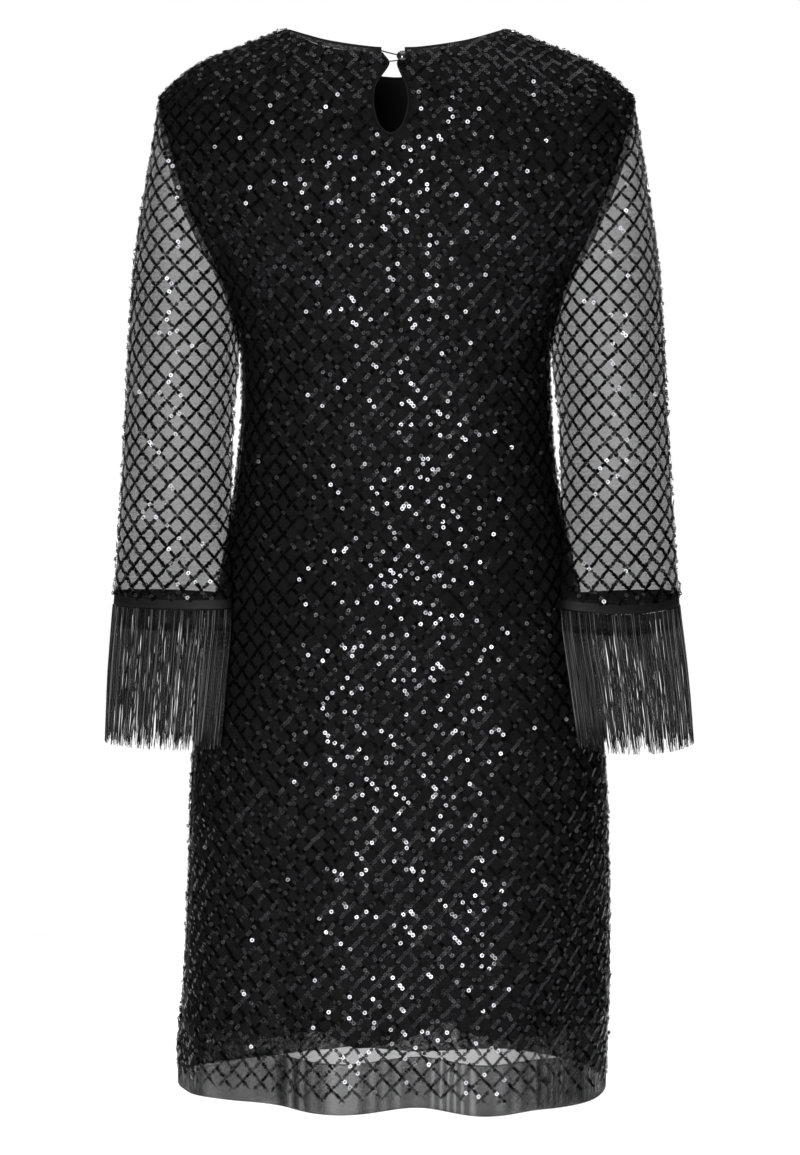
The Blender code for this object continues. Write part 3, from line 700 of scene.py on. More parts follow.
@dataclass
class SleeveForm:
    """Worn shape of one sleeve, from the armhole to the fringe's tips."""

    hand: Hand
    body: BodyForm
    end_z: float = -0.4852
    blend: float = 0.42
    seam_overlap: float = 0.0004
    cuff_dip: dict[Hand, float] = field(
        default_factory=lambda: {Hand.LEFT: 0.0010, Hand.RIGHT: 0.0045})
    armhole_steps: int = 96
    viewer: tuple[float, float] = (CAMERA[1], CAMERA[2])
    rise_height: float = 0.010
    crease_scale: float = 0.00085

    def __post_init__(self) -> None:
        """Read the tables and measure the armhole once."""
        names = ("outer", "inner", "centre_y", "half_depth", "yaw", "out", "back")
        self.curves = {name: SmoothCurve(ARM_LEVELS, "z", name) for name in names}
        self.armhole = {}
        for side in Side:
            rows = (self.armhole_steps, 1)
            heights = self.body.column_heights(side, 1.0, rows, self.body.hem_z, False, False)[1]
            self.armhole[side] = heights[: self.armhole_steps + 1]

    def oval(self, z: Array) -> tuple[Array, ...]:
        """Measures of the sleeve's level ovals.

        Args:
            z: Heights of the ovals.

        Returns:
            The middle's X and Y, the two half lengths and the turn of the oval.
        """
        extra = 1.0 if self.hand is Hand.RIGHT else 0.0
        read = {name: curve.at(z) for name, curve in self.curves.items()}
        outer = read["outer"] + extra * read["out"]
        inner = read["inner"] + extra * read["out"]
        centre_y = read["centre_y"] + extra * read["back"]
        yaw = np.radians(read["yaw"])
        half_width = (outer - inner) / (2.0 * np.cos(yaw))
        return (outer + inner) / 2.0, centre_y, half_width, read["half_depth"], yaw

    def ring(self, turn: Array, z: Array, inset: float = 0.0) -> Array:
        """Points of the sleeve's level oval.

        Args:
            turn: Angles, with 0 outermost, going round the back.
            z: Heights of the ovals.
            inset: How far inside the oval the points lie.

        Returns:
            The points, for a left sleeve.
        """
        centre_x, centre_y, half_width, half_depth, yaw = self.oval(z)
        out = (half_width - inset) * np.cos(turn)
        back = (half_depth - inset) * np.sin(turn)
        x = centre_x + out * np.cos(yaw) + back * np.sin(yaw)
        y = centre_y - out * np.sin(yaw) + back * np.cos(yaw)
        return np.stack(np.broadcast_arrays(x, y, z), axis=-1)

    def outermost(self, z: Array) -> Array:
        """Angle of the oval's outermost point, at heights z."""
        _, _, half_width, half_depth, yaw = self.oval(z)
        return np.arctan2(half_depth * np.sin(yaw), half_width * np.cos(yaw))

    def level(self, turn: Array, share: Array, over: float) -> Array:
        """Heights of the sleeve's points, for the same arguments as point."""
        seam_z = self.armhole_seam(turn)[0]
        return seam_z + (self.end_z - over + self.dip(turn) - seam_z) * share

    def at_level(self, turn: Array, z: Array, over: float, lift: float) -> Array:
        """Points of the sleeve's surface at heights z, for the same other arguments as point."""
        seam_z = self.armhole_seam(turn)[0]
        share = (z - seam_z) / (self.end_z - over + self.dip(turn) - seam_z)
        return self.point(turn, share, over, lift)

    def run(self, way: Array, z: Array, over: float, lift: float) -> Array:
        """Length along the surface at heights z, from the outermost line to the angles way."""
        steps = np.linspace(0.0, 1.0, 21)[:, None, None]
        arc = self.at_level(way * steps + self.outermost(z), z + 0.0 * steps, over, lift)
        return np.linalg.norm(np.diff(arc, axis=0), axis=-1).sum(axis=0)

    def in_front(self, points: Array, over: float, lift: float) -> tuple[Array, Array]:
        """Find what lies between points of the far side and someone behind the dress.

        Args:
            points: Points of the sleeve's far side.
            over: How far the end runs down over the ribbon.
            lift: How far that end stands off the ribbon.

        Returns:
            The length along the near side and the height there, of the spots that hide them.
        """
        eye_y, eye_z = self.viewer
        near_y = points[..., 1]
        ways = np.linspace(0.0, math.pi, 33)[:, None, None]
        for _ in range(3):
            scale = (eye_y - near_y) / (eye_y - points[..., 1])
            height = eye_z + (points[..., 2] - eye_z) * scale
            arc = self.at_level(ways + self.outermost(height), height + 0.0 * ways, over, lift)
            out = arc[..., 0] * self.hand.sign
            want = points[..., 0] * self.hand.sign * scale
            after = np.argmax(out <= want, axis=0)
            after = np.where((out <= want).any(axis=0), after, len(ways) - 1).clip(1)[None]
            first, second = (np.take_along_axis(out, after - back, axis=0)[0] for back in (1, 0))
            share = ((first - want) / np.maximum(first - second, 1e-6)).clip(0.0, 1.0)
            y_first, y_second = (np.take_along_axis(arc[..., 1], after - back, axis=0)[0]
                                 for back in (1, 0))
            near_y = y_first + (y_second - y_first) * share
        length = np.linalg.norm(np.diff(arc, axis=0), axis=-1).cumsum(axis=0)
        length = np.concatenate([np.zeros((1, *length.shape[1:])), length])
        low, high = (np.take_along_axis(length, after - back, axis=0)[0] for back in (1, 0))
        past = np.maximum(0.0, out.min(axis=0) - want)
        return low + (high - low) * share + past, height

    def placed(self, points: Array) -> Array:
        """Points of a left sleeve, moved to this hand's side."""
        return points * np.array([self.hand.sign, 1.0, 1.0])

    def dip(self, turn: Array) -> Array:
        """How much lower the sleeve's end hangs at the back."""
        return -self.cuff_dip[self.hand] * np.maximum(0.0, np.sin(turn)) ** 2

    def armhole_seam(self, turn: Array) -> tuple[Array, Array]:
        """The seam that the sleeve starts from.

        Args:
            turn: Angles, from -pi to pi.

        Returns:
            The seam's heights and its points, for a left sleeve.
        """
        turn = (turn + math.pi) % (2.0 * math.pi) - math.pi
        shares = np.linspace(0.0, math.pi, self.armhole_steps + 1)
        back = np.interp(np.abs(turn), shares, self.armhole[Side.BACK])
        front = np.interp(np.abs(turn), shares, self.armhole[Side.FRONT])
        on_back = turn >= 0.0
        z = np.where(on_back, back, front)
        edge = np.full_like(z, self.hand.sign)
        points = np.where(on_back[..., None], self.body.point(Side.BACK, edge, z),
                          self.body.point(Side.FRONT, edge, z))
        points[..., 0] = self.hand.sign * points[..., 0] - self.seam_overlap
        return z, points

    def point(self, turn: Array, share: Array, over: float = 0.0, lift: float = 0.0) -> Array:
        """Points of the sleeve's surface.

        Args:
            turn: Angles, from -pi to pi.
            share: How far down the sleeve, from 0 at the armhole to 1 at its end.
            over: How far the end runs down over the ribbon.
            lift: How far that end stands off the ribbon.

        Returns:
            The points, at this hand's side.
        """
        seam_z, seam = self.armhole_seam(turn)
        level = self.level(turn, share, over)
        rise = lift * ease((self.end_z + self.rise_height - level) / self.rise_height)
        push = np.zeros(np.broadcast(turn, level).shape)
        for crease in ARM_CREASES:
            if crease.hand is self.hand:
                scale = self.crease_scale
                around = np.degrees(turn) % 360.0 * scale
                ends = (crease.turn1 * scale, crease.z1, crease.turn2 * scale, crease.z2)
                push = push + crease.depth * line_swell(around, level, ends, crease.width)
        oval = self.ring(turn, level)
        middle = (self.ring(0.0 * turn, level) + self.ring(0.0 * turn + math.pi, level)) / 2.0
        fade = (1.0 - ease(share / self.blend))[..., None]
        points = oval + (seam - self.ring(turn, seam_z)) * fade
        points = points + unit(oval - middle) * (push + rise)[..., None]
        return self.placed(points)

    def even_turns(self, z: float, inset: float, count: int, steps: int = 720) -> Array:
        """Angles that divide the sleeve's oval into equal lengths.

        Args:
            z: Height of the oval.
            inset: How far inside it the points lie.
            count: How many parts to divide it into.
            steps: How finely it is measured.

        Returns:
            The angles.
        """
        turns = np.linspace(0.0, 2.0 * math.pi, steps + 1)
        path = self.ring(turns, np.full_like(turns, z), inset)
        lengths = np.concatenate([[0.0], np.cumsum(np.linalg.norm(np.diff(path, axis=0), axis=1))])
        return np.interp(np.arange(count) * lengths[-1] / count, lengths, turns)


@dataclass
class Sheet:
    """Rows and columns of points on one piece of cloth, with where each lies once flat."""

    points: Array
    normals: Array
    flat: Array
    edges: Array
    sides: Array
    sewn_rows: int
    slit: int | None = None

    def strips(self, rows: int) -> tuple[Array, ...]:
        """Corners of each face, round it, with none across the slit.

        Args:
            rows: How many rows of points to use, from the top.

        Returns:
            Four arrays of indices.
        """
        index = np.arange(rows * self.points.shape[1]).reshape(rows, -1)
        corners = [index[:-1, :-1], index[1:, :-1], index[1:, 1:], index[:-1, 1:]]
        if self.slit is not None:
            corners = [np.delete(corner, self.slit, axis=1) for corner in corners]
        return tuple(corner.ravel() for corner in corners)


class Wire:
    """Output of a shader node, on which Python's operators make Math nodes."""

    def __init__(self, graph: "Graph", socket: Any) -> None:
        """Keep a node's output and the graph that it is in."""
        self.graph = graph
        self.socket = socket

    def math(self, operation: str, *others: Union["Wire", float]) -> "Wire":
        """Apply a Math node to this value and any others."""
        return self.graph.math(operation, self, *others)

    def __add__(self, other: Union["Wire", float]) -> "Wire":
        """This value plus another."""
        return self.graph.math("ADD", self, other)

    def __radd__(self, other: float) -> "Wire":
        """A number plus this value."""
        return self.graph.math("ADD", other, self)

    def __sub__(self, other: Union["Wire", float]) -> "Wire":
        """This value less another."""
        return self.graph.math("SUBTRACT", self, other)

    def __rsub__(self, other: float) -> "Wire":
        """A number less this value."""
        return self.graph.math("SUBTRACT", other, self)

    def __mul__(self, other: Union["Wire", float]) -> "Wire":
        """This value times another."""
        return self.graph.math("MULTIPLY", self, other)

    def __rmul__(self, other: float) -> "Wire":
        """A number times this value."""
        return self.graph.math("MULTIPLY", other, self)

    def __truediv__(self, other: Union["Wire", float]) -> "Wire":
        """This value divided by another."""
        return self.graph.math("DIVIDE", self, other)

    def __rtruediv__(self, other: float) -> "Wire":
        """A number divided by this value."""
        return self.graph.math("DIVIDE", other, self)


class Graph:
    """Node tree of one material or world, with short ways to add to it."""

    def __init__(self, tree: bpy.types.NodeTree) -> None:
        """Work on one node tree."""
        self.tree = tree

    def node(self, kind: str, settings: dict[str, Any] | None = None,
             sockets: dict[Any, Any] | None = None) -> bpy.types.Node:
        """Add a node.

        Args:
            kind: The node's type.
            settings: Its properties.
            sockets: Values or wires for its inputs, by name or number.

        Returns:
            The node.
        """
        made = self.tree.nodes.new(kind)
        for name, value in (settings or {}).items():
            setattr(made, name, value)
        for name, value in (sockets or {}).items():
            if isinstance(value, Wire):
                self.tree.links.new(value.socket, made.inputs[name])
            else:
                made.inputs[name].default_value = value
        return made

    def wire(self, kind: str, output: Any, settings: dict[str, Any] | None = None,
             sockets: dict[Any, Any] | None = None) -> Wire:
        """Add a node and take one of its outputs, for the same arguments as node."""
        return Wire(self, self.node(kind, settings, sockets).outputs[output])

    def math(self, operation: str, *values: Union[Wire, float]) -> Wire:
        """Add a Math node on up to three values."""
        return self.wire("ShaderNodeMath", 0, {"operation": operation}, dict(enumerate(values)))

    def step(self, value: Wire, low: float, high: float) -> Wire:
        """Smooth rise from 0 at low to 1 at high."""
        settings = {"interpolation_type": "SMOOTHSTEP"}
        return self.wire("ShaderNodeMapRange", 0, settings,
                         {"Value": value, "From Min": low, "From Max": high})

    def noise(self, place: Wire, scale: float, detail: float = 2.0) -> Wire:
        """Soft noise from 0 to 1 at a place."""
        return self.wire("ShaderNodeTexNoise", "Fac", None,
                         {"Vector": place, "Scale": scale, "Detail": detail})

    def mix(self, share: Wire, first: Sequence[float], second: Sequence[float]) -> Wire:
        """Colour between two colours."""
        made = self.node("ShaderNodeMix", {"data_type": "RGBA"},
                         {0: share, 6: (*first, 1.0), 7: (*second, 1.0)})
        return Wire(self, made.outputs[2])

    def object_place(self) -> Wire:
        """Place on the piece, in metres."""
        return self.wire("ShaderNodeTexCoord", "Object")

    def split(self, vector: Wire) -> tuple[Wire, Wire, Wire]:
        """The three parts of a vector."""
        made = self.node("ShaderNodeSeparateXYZ", None, {0: vector})
        return tuple(Wire(self, made.outputs[i]) for i in range(3))

    def uv(self, name: str) -> tuple[Wire, Wire]:
        """The two parts of one of the piece's UV maps."""
        made = self.wire("ShaderNodeUVMap", 0, {"uv_map": name})
        across, up, _ = self.split(made)
        return across, up

    def bump(self, height: Wire, strength: float, distance: float) -> Wire:
        """Normal that a height gives."""
        return self.wire("ShaderNodeBump", 0, None,
                         {"Height": height, "Strength": strength, "Distance": distance})


class Finish:
    """A finish that makes its material once and hands it out after that."""

    name: str

    def shade(self, graph: Graph, shader: bpy.types.Node) -> None:
        """Add the finish's nodes. Each finish has its own."""
        raise NotImplementedError

    def material(self) -> bpy.types.Material:
        """The finish's material.

        Returns:
            The material, made on the first call.
        """
        made = bpy.data.materials.get(self.name)
        if made is None:
            made = bpy.data.materials.new(self.name)
            made.use_nodes = True
            self.shade(Graph(made.node_tree), made.node_tree.nodes["Principled BSDF"])
        return made

    def join(self, graph: Graph, shader: bpy.types.Node, **sockets: Any) -> None:
        """Set or link the shader's inputs, named with underscores for spaces."""
        for name, value in sockets.items():
            target = shader.inputs[name.replace("_", " ")]
            if isinstance(value, Wire):
                graph.tree.links.new(value.socket, target)
            else:
                target.default_value = value


@dataclass(frozen=True)
class NetFinish(Finish):
    """Fine black net with the threads that carry the sequins."""

    name: str = "black_net"
    dark: Colour = (0.0015, 0.0015, 0.0018)
    pale: Colour = (0.0075, 0.0075, 0.0080)
    thread_half: float = 0.030
    cells_per_hole: float = 15.0
    hole_share: float = 0.12
    line_alpha: float = 0.32
    clear_alpha: float = 0.075
    stitch_height: float = 0.043
    bare_hem: float = 0.0115
    neck_allowance: float = 0.0075
    side_allowance: float = 0.0125

    def shade(self, graph: Graph, shader: bpy.types.Node) -> None:
        """Threads on the lattice, fine holes between them, and the hem's stitching."""
        across, up = graph.uv("lattice")
        hem, top = graph.uv("edge")
        side, _ = graph.uv("side")
        falling = across + up
        rising = across - up
        near = falling.math("PINGPONG", 0.5).math("MINIMUM", rising.math("PINGPONG", 0.5))
        thread = 1.0 - graph.step(near, self.thread_half * 0.7, self.thread_half * 1.3)
        fine_across = across * self.cells_per_hole
        fine_up = up * self.cells_per_hole * 0.55
        fine_one = (fine_across + fine_up).math("PINGPONG", 0.5)
        fine_two = (fine_across - fine_up).math("PINGPONG", 0.5)
        fine = graph.step(fine_one.math("MINIMUM", fine_two), self.hole_share * 0.6, self.hole_share * 1.4)
        fine = 1.0 - fine
        place = graph.object_place()
        drift = graph.noise(place, 26.0)
        alpha = fine * self.line_alpha + (drift - 0.5) * 0.04 + self.clear_alpha
        stitch = 1.0 - graph.step((hem - self.stitch_height).math("ABSOLUTE"), 0.0004, 0.0010)
        turned = 1.0 - graph.step(top, self.neck_allowance * 0.85, self.neck_allowance)
        seam = 1.0 - graph.step(side + drift * 0.004, self.side_allowance, self.side_allowance + 0.003)
        fluff = graph.step(graph.noise(place, 420.0), 0.35, 0.65)
        turned = turned.math("MAXIMUM", seam) * (0.62 + fluff * 0.33)
        below = graph.step(hem, self.bare_hem - 0.002, self.bare_hem)
        thread = thread * (0.15 + below * 0.77)
        alpha = alpha.math("MAXIMUM", thread).math("MAXIMUM", stitch * 0.45)
        alpha = alpha.math("MAXIMUM", turned)
        dark = graph.noise(place, 140.0)
        colour = graph.mix(dark + graph.step(top, 0.012, 0.006), self.dark, self.pale)
        self.join(graph, shader, Base_Color=colour, Alpha=alpha, Roughness=0.65,
                  Specular_IOR_Level=0.05,
                  Normal=graph.bump(fine + thread, 0.35, 0.0003))


BODY_NET = NetFinish(name="black_net_body", line_alpha=0.78, clear_alpha=0.185)
SLEEVE_NET = NetFinish(name="black_net_sleeve", line_alpha=0.47, clear_alpha=0.135)


@dataclass(frozen=True)
class SequinFinish(Finish):
    """Flat glossy black discs, each a little different."""

    name: str = "black_sequins"
    dark: Colour = (0.012, 0.012, 0.013)
    # Pale is reached mostly at the painted highlight on each disc's rim.
    pale: Colour = (0.064, 0.064, 0.068)

    def shade(self, graph: Graph, shader: bpy.types.Node) -> None:
        """Mirror-like black with a painted highlight: a paler rim where a cupped sequin catches the light.
        Uneven in depth and polish.
        """
        rim, own = graph.uv("disc")
        place = graph.object_place()
        shade = graph.step(graph.noise(place, 320.0, 0.0), 0.30, 0.72)
        # The rim term paints a highlight: the disc's edge gets a paler base colour in place of a cupped
        # rim catching the light. The rest of the tone differs at random.
        tone = (own * 0.25 + 0.10) * shade + graph.step(rim, 0.50, 0.85) * (0.20 + own * 0.45)
        colour = graph.mix(tone, self.dark, self.pale)
        rough = 0.05 + graph.noise(place, 210.0, 0.0) * 0.13
        self.join(graph, shader, Base_Color=colour, Metallic=1.0, Roughness=rough)


@dataclass(frozen=True)
class JerseyFinish(Finish):
    """Matt black knit of the lining."""

    name: str = "black_jersey"
    dark: Colour = (0.0022, 0.0022, 0.0024)
    pale: Colour = (0.0062, 0.0062, 0.0066)
    wales_per_cell: float = 16.0

    def shade(self, graph: Graph, shader: bpy.types.Node) -> None:
        """Fine upright ribs of a knit and a soft unevenness."""
        across, up = graph.uv("lattice")
        wale = (across * self.wales_per_cell).math("PINGPONG", 0.5)
        course = (up * self.wales_per_cell * 1.3 + wale * 0.8).math("PINGPONG", 0.5)
        knit = wale * 1.4 + course * 0.6
        place = graph.object_place()
        tone = graph.noise(place, 18.0) * 0.6 + knit * 0.4
        colour = graph.mix(graph.step(tone, 0.2, 0.9), self.dark, self.pale)
        self.join(graph, shader, Base_Color=colour, Roughness=0.9, Specular_IOR_Level=0.06,
                  Normal=graph.bump(knit, 0.5, 0.0003))


@dataclass(frozen=True)
class RibbonFinish(Finish):
    """Plain black ribbon with fine upright ribs."""

    name: str = "black_ribbon"
    dark: Colour = (0.0008, 0.0008, 0.0010)
    pale: Colour = (0.0045, 0.0045, 0.0048)
    ribs_per_metre: float = 900.0
    wefts_per_metre: float = 700.0

    def shade(self, graph: Graph, shader: bpy.types.Node) -> None:
        """Ribs across the ribbon and a soft satin sheen."""
        across, up = graph.uv("lattice")
        rib = (across * self.ribs_per_metre).math("PINGPONG", 0.5)
        weft = (up * self.wefts_per_metre).math("PINGPONG", 0.5)
        place = graph.object_place()
        tone = graph.noise(place, 60.0) * 0.7 + rib * 0.5
        colour = graph.mix(graph.step(tone, 0.2, 0.9), self.dark, self.pale)
        rough = 0.50 + graph.noise(place, 95.0) * 0.2
        self.join(graph, shader, Base_Color=colour, Roughness=rough, Specular_IOR_Level=0.14,
                  Normal=graph.bump(rib + weft * 0.4, 0.45, 0.0003))


@dataclass(frozen=True)
class FringeFinish(Finish):
    """Shiny charcoal thread."""

    name: str = "fringe_thread"
    dark: Colour = (0.0008, 0.0008, 0.0010)
    # Pale is reached mostly by the strands painted as highlights.
    pale: Colour = (0.110, 0.110, 0.115)
    twists_per_metre: float = 260.0

    def shade(self, graph: Graph, shader: bpy.types.Node) -> None:
        """Each strand has its own tone, with a fine twist along it. The palest strands are painted
        highlights, standing in for light caught by shiny thread.
        """
        own, along = graph.uv("strand")
        twist = (along * self.twists_per_metre + own * 9.0).math("PINGPONG", 0.5)
        # The step on own paints a highlight: the few strands with the highest number get a pale base
        # colour in place of light glancing off shiny thread. The twist term is a pattern along the strand.
        tone = graph.step(own, 0.80, 1.0) * 0.75 + own * twist * 0.25
        colour = graph.mix(tone, self.dark, self.pale)
        rough = 0.14 + own * 0.16
        self.join(graph, shader, Base_Color=colour, Roughness=rough, Specular_IOR_Level=0.20,
                  Normal=graph.bump(twist, 0.4, 0.0002))


@dataclass(frozen=True)
class CordFinish(Finish):
    """Black rolled edge and cord."""

    name: str = "black_cord"
    dark: Colour = (0.0008, 0.0008, 0.0009)
    pale: Colour = (0.0035, 0.0035, 0.0040)

    def shade(self, graph: Graph, shader: bpy.types.Node) -> None:
        """Uneven tone and a slubby surface."""
        place = graph.object_place()
        slub = graph.noise(place, 900.0)
        colour = graph.mix(graph.step(slub, 0.3, 0.75), self.dark, self.pale)
        self.join(graph, shader, Base_Color=colour, Roughness=0.75, Specular_IOR_Level=0.1,
                  Normal=graph.bump(slub, 0.6, 0.0003))


@dataclass(frozen=True)
class ButtonFinish(Finish):
    """Glossy black of the button."""

    name: str = "button_black"
    dark: Colour = (0.004, 0.004, 0.004)
    pale: Colour = (0.010, 0.010, 0.011)

    def shade(self, graph: Graph, shader: bpy.types.Node) -> None:
        """Deep gloss with faint wear."""
        place = graph.object_place()
        wear = graph.noise(place, 700.0, 3.0)
        colour = graph.mix(wear, self.dark, self.pale)
        rough = 0.05 + graph.step(wear, 0.45, 0.8) * 0.12
        self.join(graph, shader, Base_Color=colour, Roughness=rough, Specular_IOR_Level=0.8)


@dataclass(frozen=True)
class FloorFinish(Finish):
    """Plain pale floor of the studio."""

    name: str = "pale_floor"
    dark: Colour = (0.90, 0.90, 0.90)
    pale: Colour = (0.94, 0.94, 0.94)
    glow: float = 0.30

    def shade(self, graph: Graph, shader: bpy.types.Node) -> None:
        """Nearly white paper with a faint grain."""
        place = graph.object_place()
        colour = graph.mix(graph.noise(place, 3.0), self.dark, self.pale)
        self.join(graph, shader, Base_Color=colour, Roughness=0.85, Emission_Color=colour,
                  Emission_Strength=self.glow)


def select_only(item: bpy.types.Object) -> None:
    """Leave edit mode, deselect everything and make one object active."""
    if bpy.context.object is not None and bpy.context.object.mode != "OBJECT":
        bpy.ops.object.mode_set(mode="OBJECT")
    bpy.ops.object.select_all(action="DESELECT")
    item.select_set(True)
    bpy.context.view_layer.objects.active = item


def apply_modifiers(item: bpy.types.Object) -> None:
    """Apply every modifier of an object."""
    select_only(item)
    for modifier in list(item.modifiers):
        bpy.ops.object.modifier_apply(modifier=modifier.name)


def triangles(item: bpy.types.Object) -> int:
    """Number of triangles in a mesh object."""
    return sum(len(face.vertices) - 2 for face in item.data.polygons)


def add_mesh(name: str, points: Array, faces: Sequence[Sequence[int]], smooth: bool) -> bpy.types.Object:
    """Make a mesh object.

    Args:
        name: Name of the piece.
        points: Its points.
        faces: Indices of each face's points.
        smooth: Whether it is shaded smooth.

    Returns:
        The object.
    """
    mesh = bpy.data.meshes.new(name)
    mesh.from_pydata(np.asarray(points).tolist(), [], faces)
    item = bpy.data.objects.new(name, mesh)
    bpy.context.scene.collection.objects.link(item)
    if smooth:
        mesh.shade_smooth()
    else:
        mesh.shade_flat()
    return item


def set_uv(item: bpy.types.Object, name: str, by_point: Array) -> None:
    """Give a mesh a UV map with one value for each of its points.

    Args:
        item: The object.
        name: Name of the map.
        by_point: Two numbers for each point.
    """
    layer = item.data.uv_layers.new(name=name)
    index = np.empty(len(item.data.loops), dtype=np.int32)
    item.data.loops.foreach_get("vertex_index", index)
    layer.uv.foreach_set("vector", by_point[index].astype(np.float32).ravel())


def dress(item: bpy.types.Object, finish: Finish, slot: Slot, *nodes: str) -> bpy.types.Object:
    """Give a finished piece its material and its place in the frame, and hide the solids that it stands
    for.

    Args:
        item: The piece.
        finish: Its finish.
        slot: Not used.
        *nodes: The solids that it stands for.

    Returns:
        The piece.
    """
    item.data.materials.clear()
    item.data.materials.append(finish.material())
    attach(item, "root")
    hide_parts(*nodes)
    LOG.info("%s: %d triangles", item.name, triangles(item))
    return item


@dataclass
class SheetMaker:
    """Turns a grid of points into a thin shell of cloth, plain or with the lattice's scale."""

    wall: float
    plain: bool = False

    def build(self, name: str, sheet: Sheet) -> bpy.types.Object:
        """Make the shell.

        Args:
            name: Name of the piece.
            sheet: Its points, with the outer side along their normals.

        Returns:
            The shell, with its wall inside the given points.
        """
        rows, columns = sheet.points.shape[:2]
        faces = np.stack(sheet.strips(rows), axis=1)
        points = sheet.points.reshape(-1, 3)
        middle = len(faces) // 2 + columns // 4
        a, b, c = points[faces[middle, :3]]
        if np.dot(np.cross(b - a, c - b), sheet.normals.reshape(-1, 3)[faces[middle, 0]]) < 0.0:
            faces = faces[:, ::-1]
        item = add_mesh(name, points, faces.tolist(), True)
        scale = np.array([1.0, 1.0]) if self.plain else np.array(CELL)
        set_uv(item, "lattice", sheet.flat.reshape(-1, 2) / scale)
        set_uv(item, "edge", sheet.edges.reshape(-1, 2))
        set_uv(item, "side", np.repeat(sheet.sides.reshape(-1, 1), 2, axis=1))
        weld = item.modifiers.new("weld", "WELD")
        weld.merge_threshold = 0.00001
        shell = item.modifiers.new("wall", "SOLIDIFY")
        shell.thickness = self.wall
        shell.offset = -1.0
        apply_modifiers(item)
        return item


